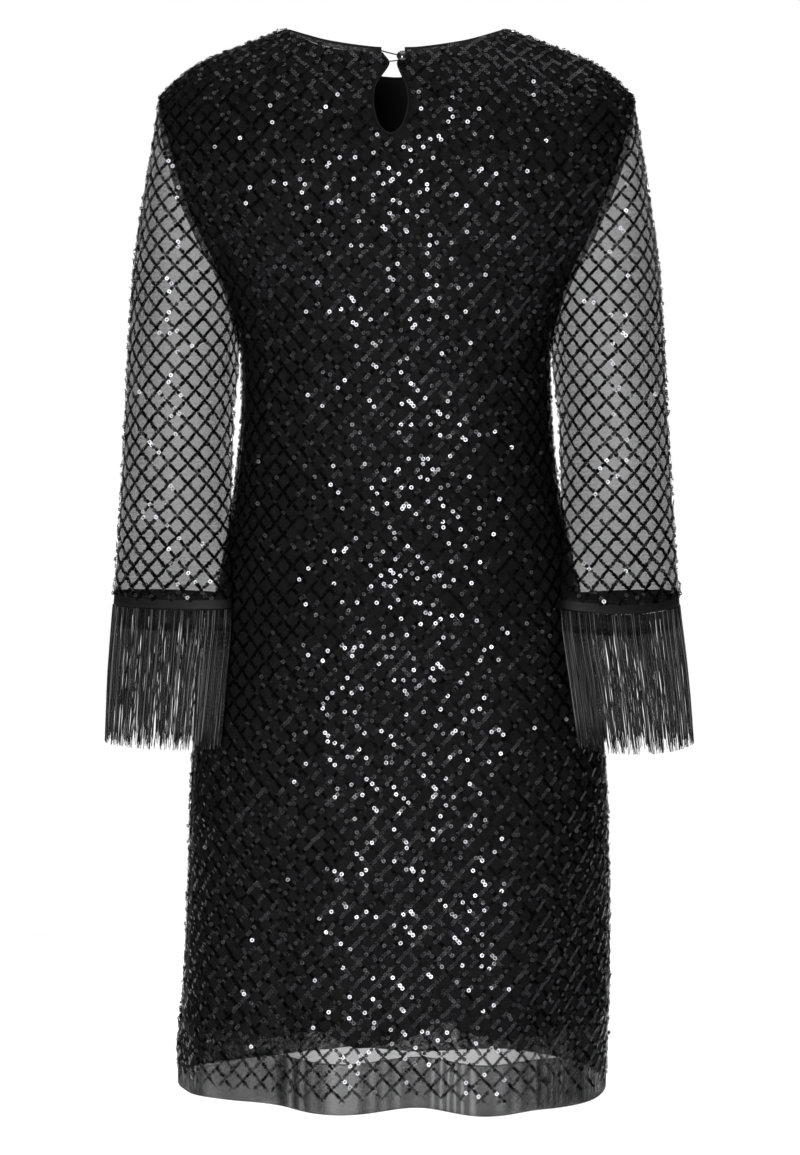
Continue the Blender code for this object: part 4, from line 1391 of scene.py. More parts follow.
@dataclass
class Sequins:
    """Flat discs sewn along the lattice's threads."""

    radius: float = 0.0018
    hole: float = 0.00062
    sides: int = 6
    spots_per_side: int = 4
    lift: float = 0.00045
    shingle: float = 8.0
    tilt: float = 10.0
    loose_share: float = 0.14
    loose_tilt: float = 2.4
    stray: float = 0.00028

    def __post_init__(self) -> None:
        """Model one disc, which every other is a copy of."""
        bpy.ops.object.select_all(action="DESELECT")
        bpy.ops.mesh.primitive_circle_add(vertices=self.sides, radius=self.radius, fill_type="NGON")
        disc = bpy.context.object
        bpy.ops.object.mode_set(mode="EDIT")
        bpy.ops.mesh.select_mode(type="FACE")
        bpy.ops.mesh.select_all(action="SELECT")
        bpy.ops.mesh.inset(thickness=(self.radius - self.hole) * math.cos(math.pi / self.sides))
        bpy.ops.mesh.delete(type="FACE")
        bpy.ops.object.mode_set(mode="OBJECT")
        self.disc_points = np.array([vert.co for vert in disc.data.vertices])
        self.disc_faces = np.array([face.vertices[:] for face in disc.data.polygons])
        bpy.data.objects.remove(disc)

    def spots(self, low: Array, high: Array) -> tuple[Array, Array]:
        """Places along the lattice's threads, on flat cloth.

        Args:
            low: Lowest corner of the cloth.
            high: Highest corner of the cloth.

        Returns:
            The places and the ways that their threads run.
        """
        scale = np.array(CELL)
        reach = math.ceil(float(np.abs(np.concatenate([low, high]) / np.tile(scale, 2)).max())) * 2 + 2
        count = np.arange(-reach, reach + 1, dtype=float)
        a, b = (part.ravel() for part in np.meshgrid(count, count))
        places, ways = [], []
        for k in range(self.spots_per_side):
            share = k / self.spots_per_side
            for da, db in ((0.0, share), (share, 0.0))[: 1 if k == 0 else 2]:
                spot = np.stack([(a + da + b + db) / 2.0, (a + da - b - db) / 2.0], axis=1) * scale
                way = np.array([0.5, -0.5]) if db > 0.0 or k == 0 else np.array([0.5, 0.5])
                places.append(spot)
                ways.append(np.broadcast_to(way * scale, spot.shape))
        places, ways = np.concatenate(places), np.concatenate(ways)
        inside = np.all((places >= low) & (places <= high), axis=1)
        return places[inside], ways[inside]

    def scatter(self, sheet: Sheet, keep: Callable[[Array, Array], Array], seed: int) -> Array:
        """Find where discs lie on a sheet and how each is turned.

        Args:
            sheet: The cloth.
            keep: Says which places get a disc, from their points and distances to the edges.
            seed: Seed of the discs' tilts.

        Returns:
            For each disc its middle and its three axes, as four rows of X, Y and Z.
        """
        rows = sheet.sewn_rows
        flat = sheet.flat[:rows].reshape(-1, 2)
        a, b, c, d = sheet.strips(rows)
        tris = np.concatenate([np.stack([a, b, c], 1), np.stack([a, c, d], 1)])
        area = np.cross(flat[tris[:, 1]] - flat[tris[:, 0]], flat[tris[:, 2]] - flat[tris[:, 0]])
        tris = tris[np.abs(area) > 1e-9]
        tree = BVHTree.FromPolygons([(u, v, 0.0) for u, v in flat], tris.tolist())
        places, ways = self.spots(flat.min(axis=0), flat.max(axis=0))
        found = [tree.find_nearest((u, v, 0.0), 0.0001) for u, v in places]
        hit = np.array([item[2] is not None for item in found])
        tri = tris[np.array([item[2] for item in found if item[2] is not None])]
        places, ways = places[hit], ways[hit]
        corner = flat[tri]
        first, second = corner[:, 1] - corner[:, 0], corner[:, 2] - corner[:, 0]
        spread = np.stack([first, second], axis=1)
        inverse = np.linalg.inv(spread)
        share = np.einsum("ni,nij->nj", places - corner[:, 0], inverse)
        weight = np.stack([1.0 - share.sum(axis=1), share[:, 0], share[:, 1]], axis=1)
        points = sheet.points[:rows].reshape(-1, 3)[tri]
        middle = np.einsum("nk,nkc->nc", weight, points)
        normal = unit(np.einsum("nk,nkc->nc", weight, sheet.normals[:rows].reshape(-1, 3)[tri]))
        edges = np.einsum("nk,nkc->nc", weight, sheet.edges[:rows].reshape(-1, 2)[tri])
        sides = np.stack([points[:, 1] - points[:, 0], points[:, 2] - points[:, 0]], axis=1)
        slope = np.einsum("nij,njc->nic", inverse, sides)
        run = np.einsum("ni,nic->nc", ways, slope)
        run = unit(run - normal * np.sum(run * normal, axis=1, keepdims=True))
        good = keep(middle, edges)
        return self.tilted(middle[good], normal[good], run[good], seed)

    def tilted(self, middle: Array, normal: Array, run: Array, seed: int) -> Array:
        """Turn each disc a little its own way.

        Args:
            middle: Places of the discs.
            normal: The way that the cloth faces there.
            run: The way that the thread runs there.
            seed: Seed of the discs' tilts.

        Returns:
            What scatter gives.
        """
        rng = np.random.default_rng(seed)
        tilt = self.tilt * np.where(rng.random(len(middle)) < self.loose_share, self.loose_tilt, 1.0)
        lean = np.radians((self.shingle + rng.normal(0.0, 1.0, len(middle)) * tilt).clip(-42.0, 42.0))
        roll = np.radians((rng.normal(0.0, 1.0, len(middle)) * tilt).clip(-42.0, 42.0))
        aside = np.cross(normal, run)
        axis = unit(normal + run * np.tan(lean)[:, None] + aside * np.tan(roll)[:, None])
        run = unit(run - axis * np.sum(run * axis, axis=1, keepdims=True))
        aside = np.cross(axis, run)
        lift = self.lift + self.radius * 0.5 * (np.abs(np.sin(lean)) + np.abs(np.sin(roll)))
        shift = rng.normal(0.0, self.stray, (len(middle), 2))
        middle = middle + normal * lift[:, None] + run * shift[:, :1] + aside * shift[:, 1:]
        return np.stack([middle, run, aside, axis], axis=1)

    def build(self, name: str, places: Array) -> bpy.types.Object:
        """Join copies of the disc into one mesh.

        Args:
            name: Name of the piece.
            places: What scatter gives.

        Returns:
            The joined discs.
        """
        points = places[:, None, 0] + np.einsum("vk,nkc->nvc", self.disc_points, places[:, 1:])
        step = np.arange(len(places))[:, None, None] * len(self.disc_points)
        faces = (self.disc_faces[None] + step).reshape(-1, self.disc_faces.shape[1])
        item = add_mesh(name, points.reshape(-1, 3), faces.tolist(), False)
        # The disc map's first coordinate runs from the hole (0) to the rim (1). The finish uses it to
        # paint a highlight on the rim.
        out = np.linalg.norm(self.disc_points, axis=1)
        rim = (out - out.min()) / (out.max() - out.min())
        own = np.random.default_rng(len(places)).random(len(places))
        set_uv(item, "disc", np.stack([np.tile(rim, len(places)), np.repeat(own, len(rim))], axis=1))
        return item


@dataclass
class Body:
    """Net panels, jersey lining and the sequins on the body."""

    form: BodyForm
    sequins: Sequins
    net_wall: float = 0.00035
    jersey_wall: float = 0.0008
    net_columns: int = 44
    jersey_columns: int = 30
    net_rows: tuple[int, int] = (60, 108)
    jersey_rows: tuple[int, int] = (44, 74)
    lining_drop: tuple[float, float] = (0.0016, 0.0036)
    turn_up: float = 0.043
    turn_up_rows: int = 8
    turn_up_gap: float = 0.0011
    bare_hem: float = 0.0125
    bare_edge: float = 0.0016
    least_bare: float = 0.0020
    hole_margin: float = 0.0026
    hole_foot_margin: float = 0.004
    split_z: float = -0.470

    def lay(self, side: Side, half: int, rows: tuple[int, int], hem: Sequence[Hem],
            folds: Sequence[Fold], drop: tuple[float, float] | None) -> Sheet:
        """Lay out one panel's points.

        Args:
            side: The panel.
            half: Columns in each half of it.
            rows: Rows above and below the underarm.
            hem: Heights of its lower edge.
            folds: Its flutes.
            drop: How far it lies inside the net at the top and at the foot, for a lining.

        Returns:
            The panel's sheet, from the wearer's right to the left.
        """
        place, z, foot = self.columns(side, half, rows, hem, drop is not None)
        across, up = self.form.flat_coordinates(side, place, z)
        normals = self.form.normal(side, place, z, folds, foot)
        depth = 0.0 if drop is None else drop[0] + (drop[1] - drop[0]) * ease(z / foot)
        points = self.form.point(side, place, z, folds, foot) - normals * np.asarray(depth)[..., None]
        from_hem = z - foot
        from_top = np.linalg.norm(np.diff(points, axis=0), axis=-1).cumsum(axis=0)
        from_top = np.concatenate([np.zeros((1, z.shape[1])), from_top])
        flat = np.stack([across, up], axis=-1)
        edges = np.stack([from_hem, from_top], axis=-1)
        sides = np.minimum(across - across[:, :1], across[:, -1:] - across)
        slit = half if side is Side.BACK else None
        sheet = Sheet(points, normals, flat, edges, sides, len(z), slit)
        if drop is None:
            self.turn_up_hem(sheet, side, place[-1:], foot[:1], folds)
        return sheet

    def columns(self, side: Side, half: int, rows: tuple[int, int], hem: Sequence[Hem],
                lining: bool) -> tuple[Array, Array, Array]:
        """Places and heights of one panel's columns.

        Args:
            side: The panel.
            half: Columns in each half of it.
            rows: Rows above and below the underarm.
            hem: Heights of its lower edge.
            lining: Whether it is the lining, which starts lower where the net's neck is bare.

        Returns:
            The places, the heights and the columns' lower ends, a column of points to each.
        """
        hem_line = SmoothCurve(hem, "x", side.value)
        bare = SmoothCurve(BARE_NECK, "x", "depth")
        steps = np.linspace(0.0, 1.0, half + 1)
        columns = [(-place, True) for place in steps[::-1]] + [(place, False) for place in steps]
        keyhole = side is Side.BACK
        if not keyhole:
            columns.pop(half)
        places, heights, feet = [], [], []
        for place, right_half in columns:
            foot = float(hem_line.at(self.form.reach(place, np.float64(self.form.hem_z))))
            sink = 0.0
            if lining and keyhole and abs(place) < self.form.keyhole_spread:
                depth = float(bare.at(self.form.reach(place, np.float64(NECK[0].back))))
                sink = max(0.0, depth - self.least_bare)
            moved, z = self.form.column_heights(side, place, rows, foot, keyhole, right_half, sink)
            places.append(moved)
            heights.append(z)
            feet.append(np.full_like(z, foot))
        return np.array(places).T, np.array(heights).T, np.array(feet).T

    def turn_up_hem(self, sheet: Sheet, side: Side, place: Array, foot: Array,
                    folds: Sequence[Fold]) -> None:
        """Add the hem's turn-up inside a panel's lower edge.

        Args:
            sheet: The panel's sheet, which grows by the turn-up's rows.
            side: The panel.
            place: Places of the columns at the hem, as one row.
            foot: Heights of the hem, as one row.
            folds: The panel's flutes.
        """
        climb = np.linspace(0.0, 1.0, self.turn_up_rows)[:, None]
        z = foot + self.turn_up * climb
        place = np.broadcast_to(place, z.shape)
        inner = self.form.inset(side, place, z, folds, foot + 0.0 * climb, self.turn_up_gap + 0.0 * z)
        across = np.broadcast_to(sheet.flat[-1:, :, 0], z.shape)
        up = sheet.flat[-1:, :, 1] - self.turn_up * climb - self.turn_up_gap
        from_hem = -self.turn_up * climb + 0.0 * z
        from_top = sheet.edges[-1:, :, 1] + self.turn_up * climb
        sheet.points = np.concatenate([sheet.points, inner])
        sheet.normals = np.concatenate([sheet.normals, np.broadcast_to(sheet.normals[-1:], inner.shape)])
        sheet.flat = np.concatenate([sheet.flat, np.stack([across, up], axis=-1)])
        sheet.edges = np.concatenate([sheet.edges, np.stack([from_hem, from_top], axis=-1)])
        sheet.sides = np.concatenate([sheet.sides, np.broadcast_to(sheet.sides[-1:], z.shape)])

    def sewn(self, side: Side) -> Callable[[Array, Array], Array]:
        """Rule for where the body's discs lie.

        Args:
            side: The panel.

        Returns:
            A function of points and distances to the edges that says which get a disc.
        """
        bare = SmoothCurve(BARE_NECK, "x", "depth")

        def keep(points: Array, edges: Array) -> Array:
            """Whether each place gets a disc."""
            top = np.full(len(points), self.bare_edge)
            if side is Side.BACK:
                near_neck = np.abs(points[:, 0]) < self.form.neck_half_width
                top = np.where(near_neck, np.maximum(top, bare.at(points[:, 0])), top)
                in_hole = points[:, 2] > KEYHOLE[-1].z - self.hole_foot_margin
                gap = np.abs(points[:, 0] - self.form.hole_centre.at(points[:, 2]))
                clear = gap > self.form.hole_width.at(points[:, 2]) + self.hole_margin
                return (edges[:, 0] > self.bare_hem) & (edges[:, 1] > top) & (clear | ~in_hole)
            return (edges[:, 0] > self.bare_hem) & (edges[:, 1] > top)

        return keep

    def build(self) -> None:
        """Make and dress every piece of the body."""
        net_maker = SheetMaker(self.net_wall)
        jersey_maker = SheetMaker(self.jersey_wall)
        for seed, side in enumerate(Side):
            lining = self.lay(side, self.jersey_columns, self.jersey_rows, LINING_HEM,
                              LINING_FOLDS, self.lining_drop)
            jersey = jersey_maker.build("jersey_" + side.value, lining)
            dress(jersey, JerseyFinish(), Slot.JERSEY, "lining_" + side.value)
            sheet = self.lay(side, self.net_columns, self.net_rows, NET_HEM, NET_FOLDS, None)
            net = net_maker.build("net_" + side.value, sheet)
            dress(net, BODY_NET, Slot.NET, side.value + "_panel")
            places = self.sequins.scatter(sheet, self.sewn(side), 40 + seed)
            upper = places[:, 0, 2] > self.split_z
            for label, chosen in (("upper", upper), ("lower", ~upper)):
                made = self.sequins.build(f"sequins_{side.value}_{label}", places[chosen])
                dress(made, SequinFinish(), Slot.NET, side.value + "_panel")


@dataclass
class Sleeve:
    """Sheer net sleeve with its sequins."""

    form: SleeveForm
    sequins: Sequins
    wall: float = 0.00035
    columns: int = 64
    rows: int = 72
    over: float = 0.0035
    lift: float = 0.0009
    bare_edge: float = 0.0016

    def from_seam(self, points: Array) -> Array:
        """Distances of a half's points from its own part of the armhole seam."""
        seam = points[0][None, None]
        return np.linalg.norm(points[:, :, None] - seam, axis=-1).min(axis=2)

    def lay(self) -> Sheet:
        """Lay out the sleeve's points.

        The lattice on the far side is laid to fall in line with the near side's, as seen from
        behind, so that the sheer sleeve shows clear diamonds as in the photo.

        Returns:
            The sleeve's sheet, open along the inside of the arm.
        """
        turns = np.linspace(-math.pi, math.pi, self.columns + 1)
        shares = np.linspace(0.0, 1.0, self.rows + 1)
        way, share = np.meshgrid(turns, shares)
        turn = way
        for _ in range(5):
            turn = way + self.form.outermost(self.form.level(turn, share, self.over))
        points = self.form.point(turn, share, self.over, self.lift)
        level = points[..., 2]
        middle = self.columns // 2
        hidden, height = self.form.in_front(points[:, :middle], self.over, self.lift)
        shown = self.form.run(way[:, middle:], level[:, middle:], self.over, self.lift)
        across = np.concatenate([-hidden, shown], axis=1)
        height = np.concatenate([height, level[:, middle:]], axis=1)
        normals = np.cross(np.gradient(points, axis=0), np.gradient(points, axis=1))
        centre = points.mean(axis=1, keepdims=True)
        facing = np.sign(np.sum(normals * (points - centre), axis=-1, keepdims=True))
        normals = unit(normals) * facing
        from_end = level - level[-1:]
        from_top = np.concatenate([self.from_seam(points[:, :middle + 1])[:, :-1],
                                   self.from_seam(points[:, middle:])], axis=1)
        flat = np.stack([across, height], axis=-1)
        edges = np.stack([from_end + 1.0, from_top], axis=-1)
        return Sheet(points, normals, flat, edges, 1.0 + 0.0 * level, self.rows + 1)

    def build(self) -> None:
        """Make and dress the sleeve and its discs."""
        hand = self.form.hand
        node = "sleeve_" + hand.value
        sheet = self.lay()
        net = SheetMaker(self.wall).build("net_sleeve_" + hand.value, sheet)
        dress(net, SLEEVE_NET, Slot.NET, node)
        places = self.sequins.scatter(
            sheet, lambda points, edges: edges[:, 1] > self.bare_edge, 50 + len(hand.value))
        discs = self.sequins.build("sequins_sleeve_" + hand.value, places)
        dress(discs, SequinFinish(), Slot.NET, node)


@dataclass
class Cuff:
    """Plain ribbon and hanging fringe at the end of a sleeve."""

    form: SleeveForm
    ribbon_height: float = 0.0104
    ribbon_wall: float = 0.0008
    ribbon_wave: float = 0.0003
    gap: float = 0.0009
    strip_wall: float = 0.0012
    strip_height: float = 0.0060
    length: float = 0.1046
    strands: int = 720
    strand_radius: float = 0.00038
    bends: int = 6
    uneven: float = 0.0040
    lock_count: int = 29
    sway: float = 0.009
    bow: float = 0.0006
    broken_share: float = 0.03
    broken_loss: float = 0.030

    def ribbon(self) -> tuple[bpy.types.Object, float]:
        """Model the ribbon.

        Returns:
            The dressed ribbon and its length once flat.
        """
        top = self.form.end_z - self.gap
        turns = np.linspace(-math.pi, math.pi, 73)
        levels = np.linspace(0.0, 1.0, 5)
        turn, share = np.meshgrid(turns, levels)
        z = top - self.ribbon_height * share
        points = self.form.ring(turn, z)
        wave = self.ribbon_wave * np.sin(turn * 5.0 + 1.0) * share
        points[..., 2] = z + self.form.dip(turn) - np.abs(wave)
        points = self.form.placed(points)
        centre = points.mean(axis=1, keepdims=True)
        normals = unit((points - centre) * np.array([1.0, 1.0, 0.0]))
        run = np.linalg.norm(np.diff(points, axis=1), axis=-1).cumsum(axis=1)
        run = np.concatenate([np.zeros((len(levels), 1)), run], axis=1)
        flat = np.stack([run, self.ribbon_height * (1.0 - share)], axis=-1)
        sheet = Sheet(points, normals, flat, flat, 1.0 + 0.0 * run, len(levels))
        item = SheetMaker(self.ribbon_wall, plain=True).build("ribbon_" + self.form.hand.value, sheet)
        dress(item, RibbonFinish(), Slot.RIBBON, "cuff_band_" + self.form.hand.value)
        return item, round(float(run[0, -1]), 3)

    def strand_model(self) -> tuple[Array, Array]:
        """Model one strand upright, from height 0 down to -1.

        Returns:
            Its points and its faces.
        """
        bpy.ops.object.select_all(action="DESELECT")
        bpy.ops.mesh.primitive_cylinder_add(vertices=3, radius=1.0, depth=1.0, location=(0.0, 0.0, -0.5),
                                            end_fill_type="NGON")
        strand = bpy.context.object
        bpy.ops.object.transform_apply(location=True, rotation=False, scale=False)
        bpy.ops.object.mode_set(mode="EDIT")
        bpy.ops.mesh.select_mode(type="EDGE")
        bpy.ops.mesh.select_all(action="DESELECT")
        bpy.ops.object.mode_set(mode="OBJECT")
        for edge in strand.data.edges:
            ends = [strand.data.vertices[i].co.z for i in edge.vertices]
            edge.select = abs(ends[0] - ends[1]) > 0.5
        bpy.ops.object.mode_set(mode="EDIT")
        bpy.ops.mesh.subdivide(number_cuts=self.bends - 1)
        bpy.ops.mesh.select_all(action="SELECT")
        bpy.ops.mesh.quads_convert_to_tris()
        bpy.ops.object.mode_set(mode="OBJECT")
        points = np.array([vert.co for vert in strand.data.vertices])
        faces = np.array([face.vertices[:] for face in strand.data.polygons])
        bpy.data.objects.remove(strand)
        return points, faces

    def fringe(self) -> bpy.types.Object:
        """Hang many strands in uneven locks from a narrow strip.

        Returns:
            The dressed fringe.
        """
        form = self.form
        top = form.end_z - self.ribbon_height - 2 * self.gap
        foot = top - self.strip_height
        model, faces = self.strand_model()
        points, tone = self.hang(model, top, foot)
        step = np.arange(self.strands)[:, None, None] * len(model)
        strand_faces = (faces[None] + step).reshape(-1, 3).tolist()
        down = np.tile(-model[:, 2] * self.length, self.strands)
        strand_uv = np.stack([np.repeat(tone, len(model)), down], axis=1)
        strip_points, strip_faces = self.strip(top, foot, len(points))
        strip_uv = np.tile(np.array([[0.2, 0.0]]), (len(strip_points), 1))
        item = add_mesh("fringe_strands_" + form.hand.value, np.concatenate([points, strip_points]),
                        strand_faces + strip_faces, True)
        set_uv(item, "strand", np.concatenate([strand_uv, strip_uv]))
        return dress(item, FringeFinish(), Slot.FRINGE, "fringe_" + form.hand.value)

    def hang(self, model: Array, top: float, foot: float) -> tuple[Array, Array]:
        """Hang copies of the strand round the sleeve's end.

        Args:
            model: Points of the upright strand.
            top: Height of the strands' upper ends.
            foot: Height of the strip's lower edge.

        Returns:
            The points of every strand, and one number from 0 to 1 for each strand's tone. The highest
            numbers mark the strands painted pale as highlights.
        """
        form = self.form
        rng = np.random.default_rng(70 + len(form.hand.value))
        turns = form.even_turns(foot, 0.0, self.strands)
        turns = turns + rng.uniform(-0.5, 0.5, self.strands) * 2.0 * math.pi / self.strands
        lock = np.floor(turns / (2.0 * math.pi) * self.lock_count + rng.normal(0.0, 0.25, self.strands))
        lock_turn = (lock + 0.5 + 0.25 * np.sin(lock * 2.4)) * 2.0 * math.pi / self.lock_count
        gather = rng.uniform(0.1, 0.7, self.strands) * (lock_turn - turns)
        sway = rng.normal(0.0, self.sway, self.strands)
        bow = rng.normal(0.0, self.bow, (self.strands, 2))
        inset = rng.uniform(-0.0006, 0.0004, self.strands)
        length = self.length + rng.normal(0.0, self.uneven, self.strands).clip(-0.012, 0.0045)
        broken = rng.random(self.strands) < self.broken_share
        length = length - broken * rng.uniform(0.0, self.broken_loss, self.strands)
        down = -model[None, :, 2] + 0.0 * turns[:, None]
        drop = ease(down * 0.9)
        turn = turns[:, None] + gather[:, None] * drop + sway[:, None] * down**1.5
        z = top - (length[:, None] + self.strip_height) * down
        path = form.ring(turn, z)
        middle = form.ring(0.0 * turn, z) * 0.5 + form.ring(0.0 * turn + math.pi, z) * 0.5
        outward = unit((path - middle) * np.array([1.0, 1.0, 0.0]))
        path = path - outward * inset[:, None, None]
        arch = np.sin(math.pi * down)[..., None] * bow[:, None, :]
        spin = rng.uniform(0.0, 2.0 * math.pi, self.strands)[:, None]
        radius = self.strand_radius * (1.0 - 0.25 * down)
        cross_x = (model[None, :, 0] * np.cos(spin) - model[None, :, 1] * np.sin(spin)) * radius
        cross_y = (model[None, :, 0] * np.sin(spin) + model[None, :, 1] * np.cos(spin)) * radius
        points = path + np.stack([cross_x + arch[..., 0], cross_y + arch[..., 1], 0.0 * cross_x], axis=-1)
        points[..., 2] += form.dip(turns)[:, None]
        return form.placed(points).reshape(-1, 3), rng.random(self.strands)

    def strip(self, top: float, foot: float, start: int) -> tuple[Array, list[list[int]]]:
        """Narrow strip that the strands hang from.

        Args:
            top: Height of its upper edge.
            foot: Height of its lower edge.
            start: Index of its first point.

        Returns:
            Its points and its faces.
        """
        count = 72
        turns = np.arange(count) * 2.0 * math.pi / count
        loops = []
        for z, inset in ((top, 0.0), (foot, 0.0), (foot, self.strip_wall), (top, self.strip_wall)):
            ring = self.form.ring(turns, np.full(count, top), inset)
            ring[:, 2] = z + self.form.dip(turns)
            loops.append(self.form.placed(ring))
        faces = []
        for k in range(4):
            for i in range(count):
                j = (i + 1) % count
                corners = [k * count + i, (k + 1) % 4 * count + i, (k + 1) % 4 * count + j, k * count + j]
                if self.form.hand is Hand.RIGHT:
                    corners.reverse()
                faces.append([start + corner for corner in corners])
        return np.concatenate(loops), faces

    def build(self) -> None:
        """Make and dress the ribbon and the fringe."""
        ribbon, length = self.ribbon()
        fringe = self.fringe()


class ProfileRow(NamedTuple):
    """One step of the button's outline, from its shank to its dome."""

    radius: float
    height: float


@dataclass
class NeckTrim:
    """Rolled edges of the neck and keyhole, with the button and its loop."""

    form: BodyForm
    edge_radius: float = 0.0011
    edge_gap: float = -0.0006
    keyhole_gap: float = -0.0007
    keyhole_top: float = -0.0240
    edge_depth: float = 0.0013
    button_x: float = -0.0070
    button_z: float = -0.0300
    shank_radius: float = 0.0013
    shank_height: float = 0.0024
    loop_radius: float = 0.00055
    loop_gap: float = 0.0004
    profile: tuple[ProfileRow, ...] = (
        ProfileRow(0.0037, 0.0024),
        ProfileRow(0.0047, 0.0028),
        ProfileRow(0.0050, 0.0036),
        ProfileRow(0.0047, 0.0046),
        ProfileRow(0.0037, 0.0061),
        ProfileRow(0.0020, 0.0071),
        ProfileRow(0.0004, 0.0074),
    )
    loop_upper: tuple[float, float] = (0.0112, -0.0235)
    loop_lower: tuple[float, float] = (0.0052, -0.0330)
    loop_sag: float = 0.0004
    stitch_ends: tuple[tuple[float, float], ...] = ((0.0112, -0.0235), (0.0060, -0.0330))
    stitch_count: int = 5
    stitch_radius: float = 0.00016

    def tube(self, name: str, points: Array, radius: float, sides: int) -> bpy.types.Object:
        """Round cord through points.

        Args:
            name: Name of the piece.
            points: Points that it runs through.
            radius: Its radius.
            sides: Sides of its cross-section, an even number.

        Returns:
            The cord, as a mesh.
        """
        curve = bpy.data.curves.new(name, "CURVE")
        curve.dimensions = "3D"
        curve.bevel_depth = radius
        curve.bevel_resolution = sides // 2 - 2
        curve.use_fill_caps = True
        spline = curve.splines.new("POLY")
        spline.points.add(len(points) - 1)
        for target, point in zip(spline.points, points):
            target.co = (*point, 1.0)
        item = bpy.data.objects.new(name, curve)
        bpy.context.scene.collection.objects.link(item)
        select_only(item)
        bpy.ops.object.convert(target="MESH")
        item = bpy.context.object
        item.data.shade_smooth()
        return item

    def surface(self, x: float, z: float) -> tuple[Array, Array]:
        """A point of the back and the way it faces."""
        height = np.array([z])
        place = self.form.place_across(np.array([x]), height)
        return self.form.point(Side.BACK, place, height)[0], self.form.normal(Side.BACK, place, height)[0]

    def neck_edge(self) -> bpy.types.Object:
        """Model the rolled edge round the neck.

        Returns:
            The dressed edge.
        """
        neck = float(np.arcsin(self.form.neck_half_width / self.form.width.at(0.0))
                     / self.form.edge_angle(np.float64(0.0)))
        left, right = self.form.keyhole_edges(np.float64(NECK[0].back))
        stops = [(Side.BACK, place) for place in np.linspace(float(left), neck, 22)]
        stops += [(Side.FRONT, place) for place in np.linspace(neck, -neck, 44)]
        stops += [(Side.BACK, place) for place in np.linspace(-neck, float(right), 22)]
        points, normals = [], []
        for side, place in stops:
            z = self.form.column_top(side, place)
            points.append(self.form.point(side, np.array([place]), np.array([z]))[0])
            normals.append(self.form.normal(side, np.array([place]), np.array([z - 0.0008]))[0])
        points, normals = np.array(points), np.array(normals)
        run = np.gradient(points, axis=0)
        away = unit(np.cross(run, normals))
        target = np.array([0.0, 0.0, self.form.neck_half_width])
        wrong = np.sum(away * (target - points * np.array([1.0, 1.0, 0.0])), axis=1) < 0.0
        away[wrong] *= -1.0
        path = points + away * (self.edge_radius + self.edge_gap) - normals * self.edge_depth
        item = self.tube("neck_roll", path, self.edge_radius, 10)
        return dress(item, CordFinish(), Slot.CORD, "neck_binding")

    def keyhole_edge(self) -> bpy.types.Object:
        """Model the rolled edge round the keyhole.

        Returns:
            The dressed edge.
        """
        top, foot = KEYHOLE[0].z, KEYHOLE[-1].z
        z = np.linspace(top, foot, 40)
        half, middle = self.form.hole_width.at(z), self.form.hole_centre.at(z)
        left = np.stack([middle + half, z], axis=1)
        right = np.stack([middle - half, z], axis=1)
        tip = np.array([[KEYHOLE[-1].centre, foot - self.form.keyhole_foot]])
        edge = np.concatenate([left, tip, right[::-1]])
        run = np.gradient(edge, axis=0)
        inward = unit(np.stack([run[:, 1], -run[:, 0]], axis=1))
        edge = edge + inward * (self.edge_radius + self.keyhole_gap)
        edge = edge[edge[:, 1] < self.keyhole_top]
        path = []
        for x, height in edge:
            point, normal = self.surface(x, height)
            path.append(point - normal * self.edge_depth)
        item = self.tube("keyhole_roll", np.array(path), self.edge_radius, 10)
        return dress(item, CordFinish(), Slot.CORD, "keyhole_binding")

    def button(self) -> bpy.types.Object:
        """Model the domed button on its shank.

        Returns:
            The dressed button.
        """
        seat, normal = self.surface(self.button_x, self.button_z)
        bpy.ops.object.select_all(action="DESELECT")
        bpy.ops.mesh.primitive_cylinder_add(vertices=32, radius=self.shank_radius,
                                            depth=self.shank_height,
                                            location=(0.0, 0.0, self.shank_height / 2))
        item = bpy.context.object
        item.name = item.data.name = "ball_button"
        bpy.ops.object.transform_apply(location=True, rotation=False, scale=False)
        bpy.ops.object.mode_set(mode="EDIT")
        bpy.ops.mesh.select_mode(type="FACE")
        bpy.ops.mesh.select_all(action="DESELECT")
        bpy.ops.object.mode_set(mode="OBJECT")
        for face in item.data.polygons:
            face.select = face.normal.z > 0.9
        bpy.ops.object.mode_set(mode="EDIT")
        radius, height = self.shank_radius, self.shank_height
        for row in self.profile:
            rise = (0.0, 0.0, row.height - height)
            bpy.ops.mesh.extrude_region_move(TRANSFORM_OT_translate={"value": rise})
            grow = row.radius / radius
            bpy.ops.transform.resize(value=(grow, grow, 1.0), center_override=(0.0, 0.0, row.height))
            radius, height = row.radius, row.height
        bpy.ops.object.mode_set(mode="OBJECT")
        item.location = Vector(seat + normal * self.form.seam)
        item.rotation_mode = "QUATERNION"
        item.rotation_quaternion = Vector(normal).to_track_quat("Z", "Y")
        select_only(item)
        bpy.ops.object.transform_apply(location=True, rotation=True, scale=True)
        item.data.shade_smooth()
        return dress(item, ButtonFinish(), Slot.GLOSS, "button")

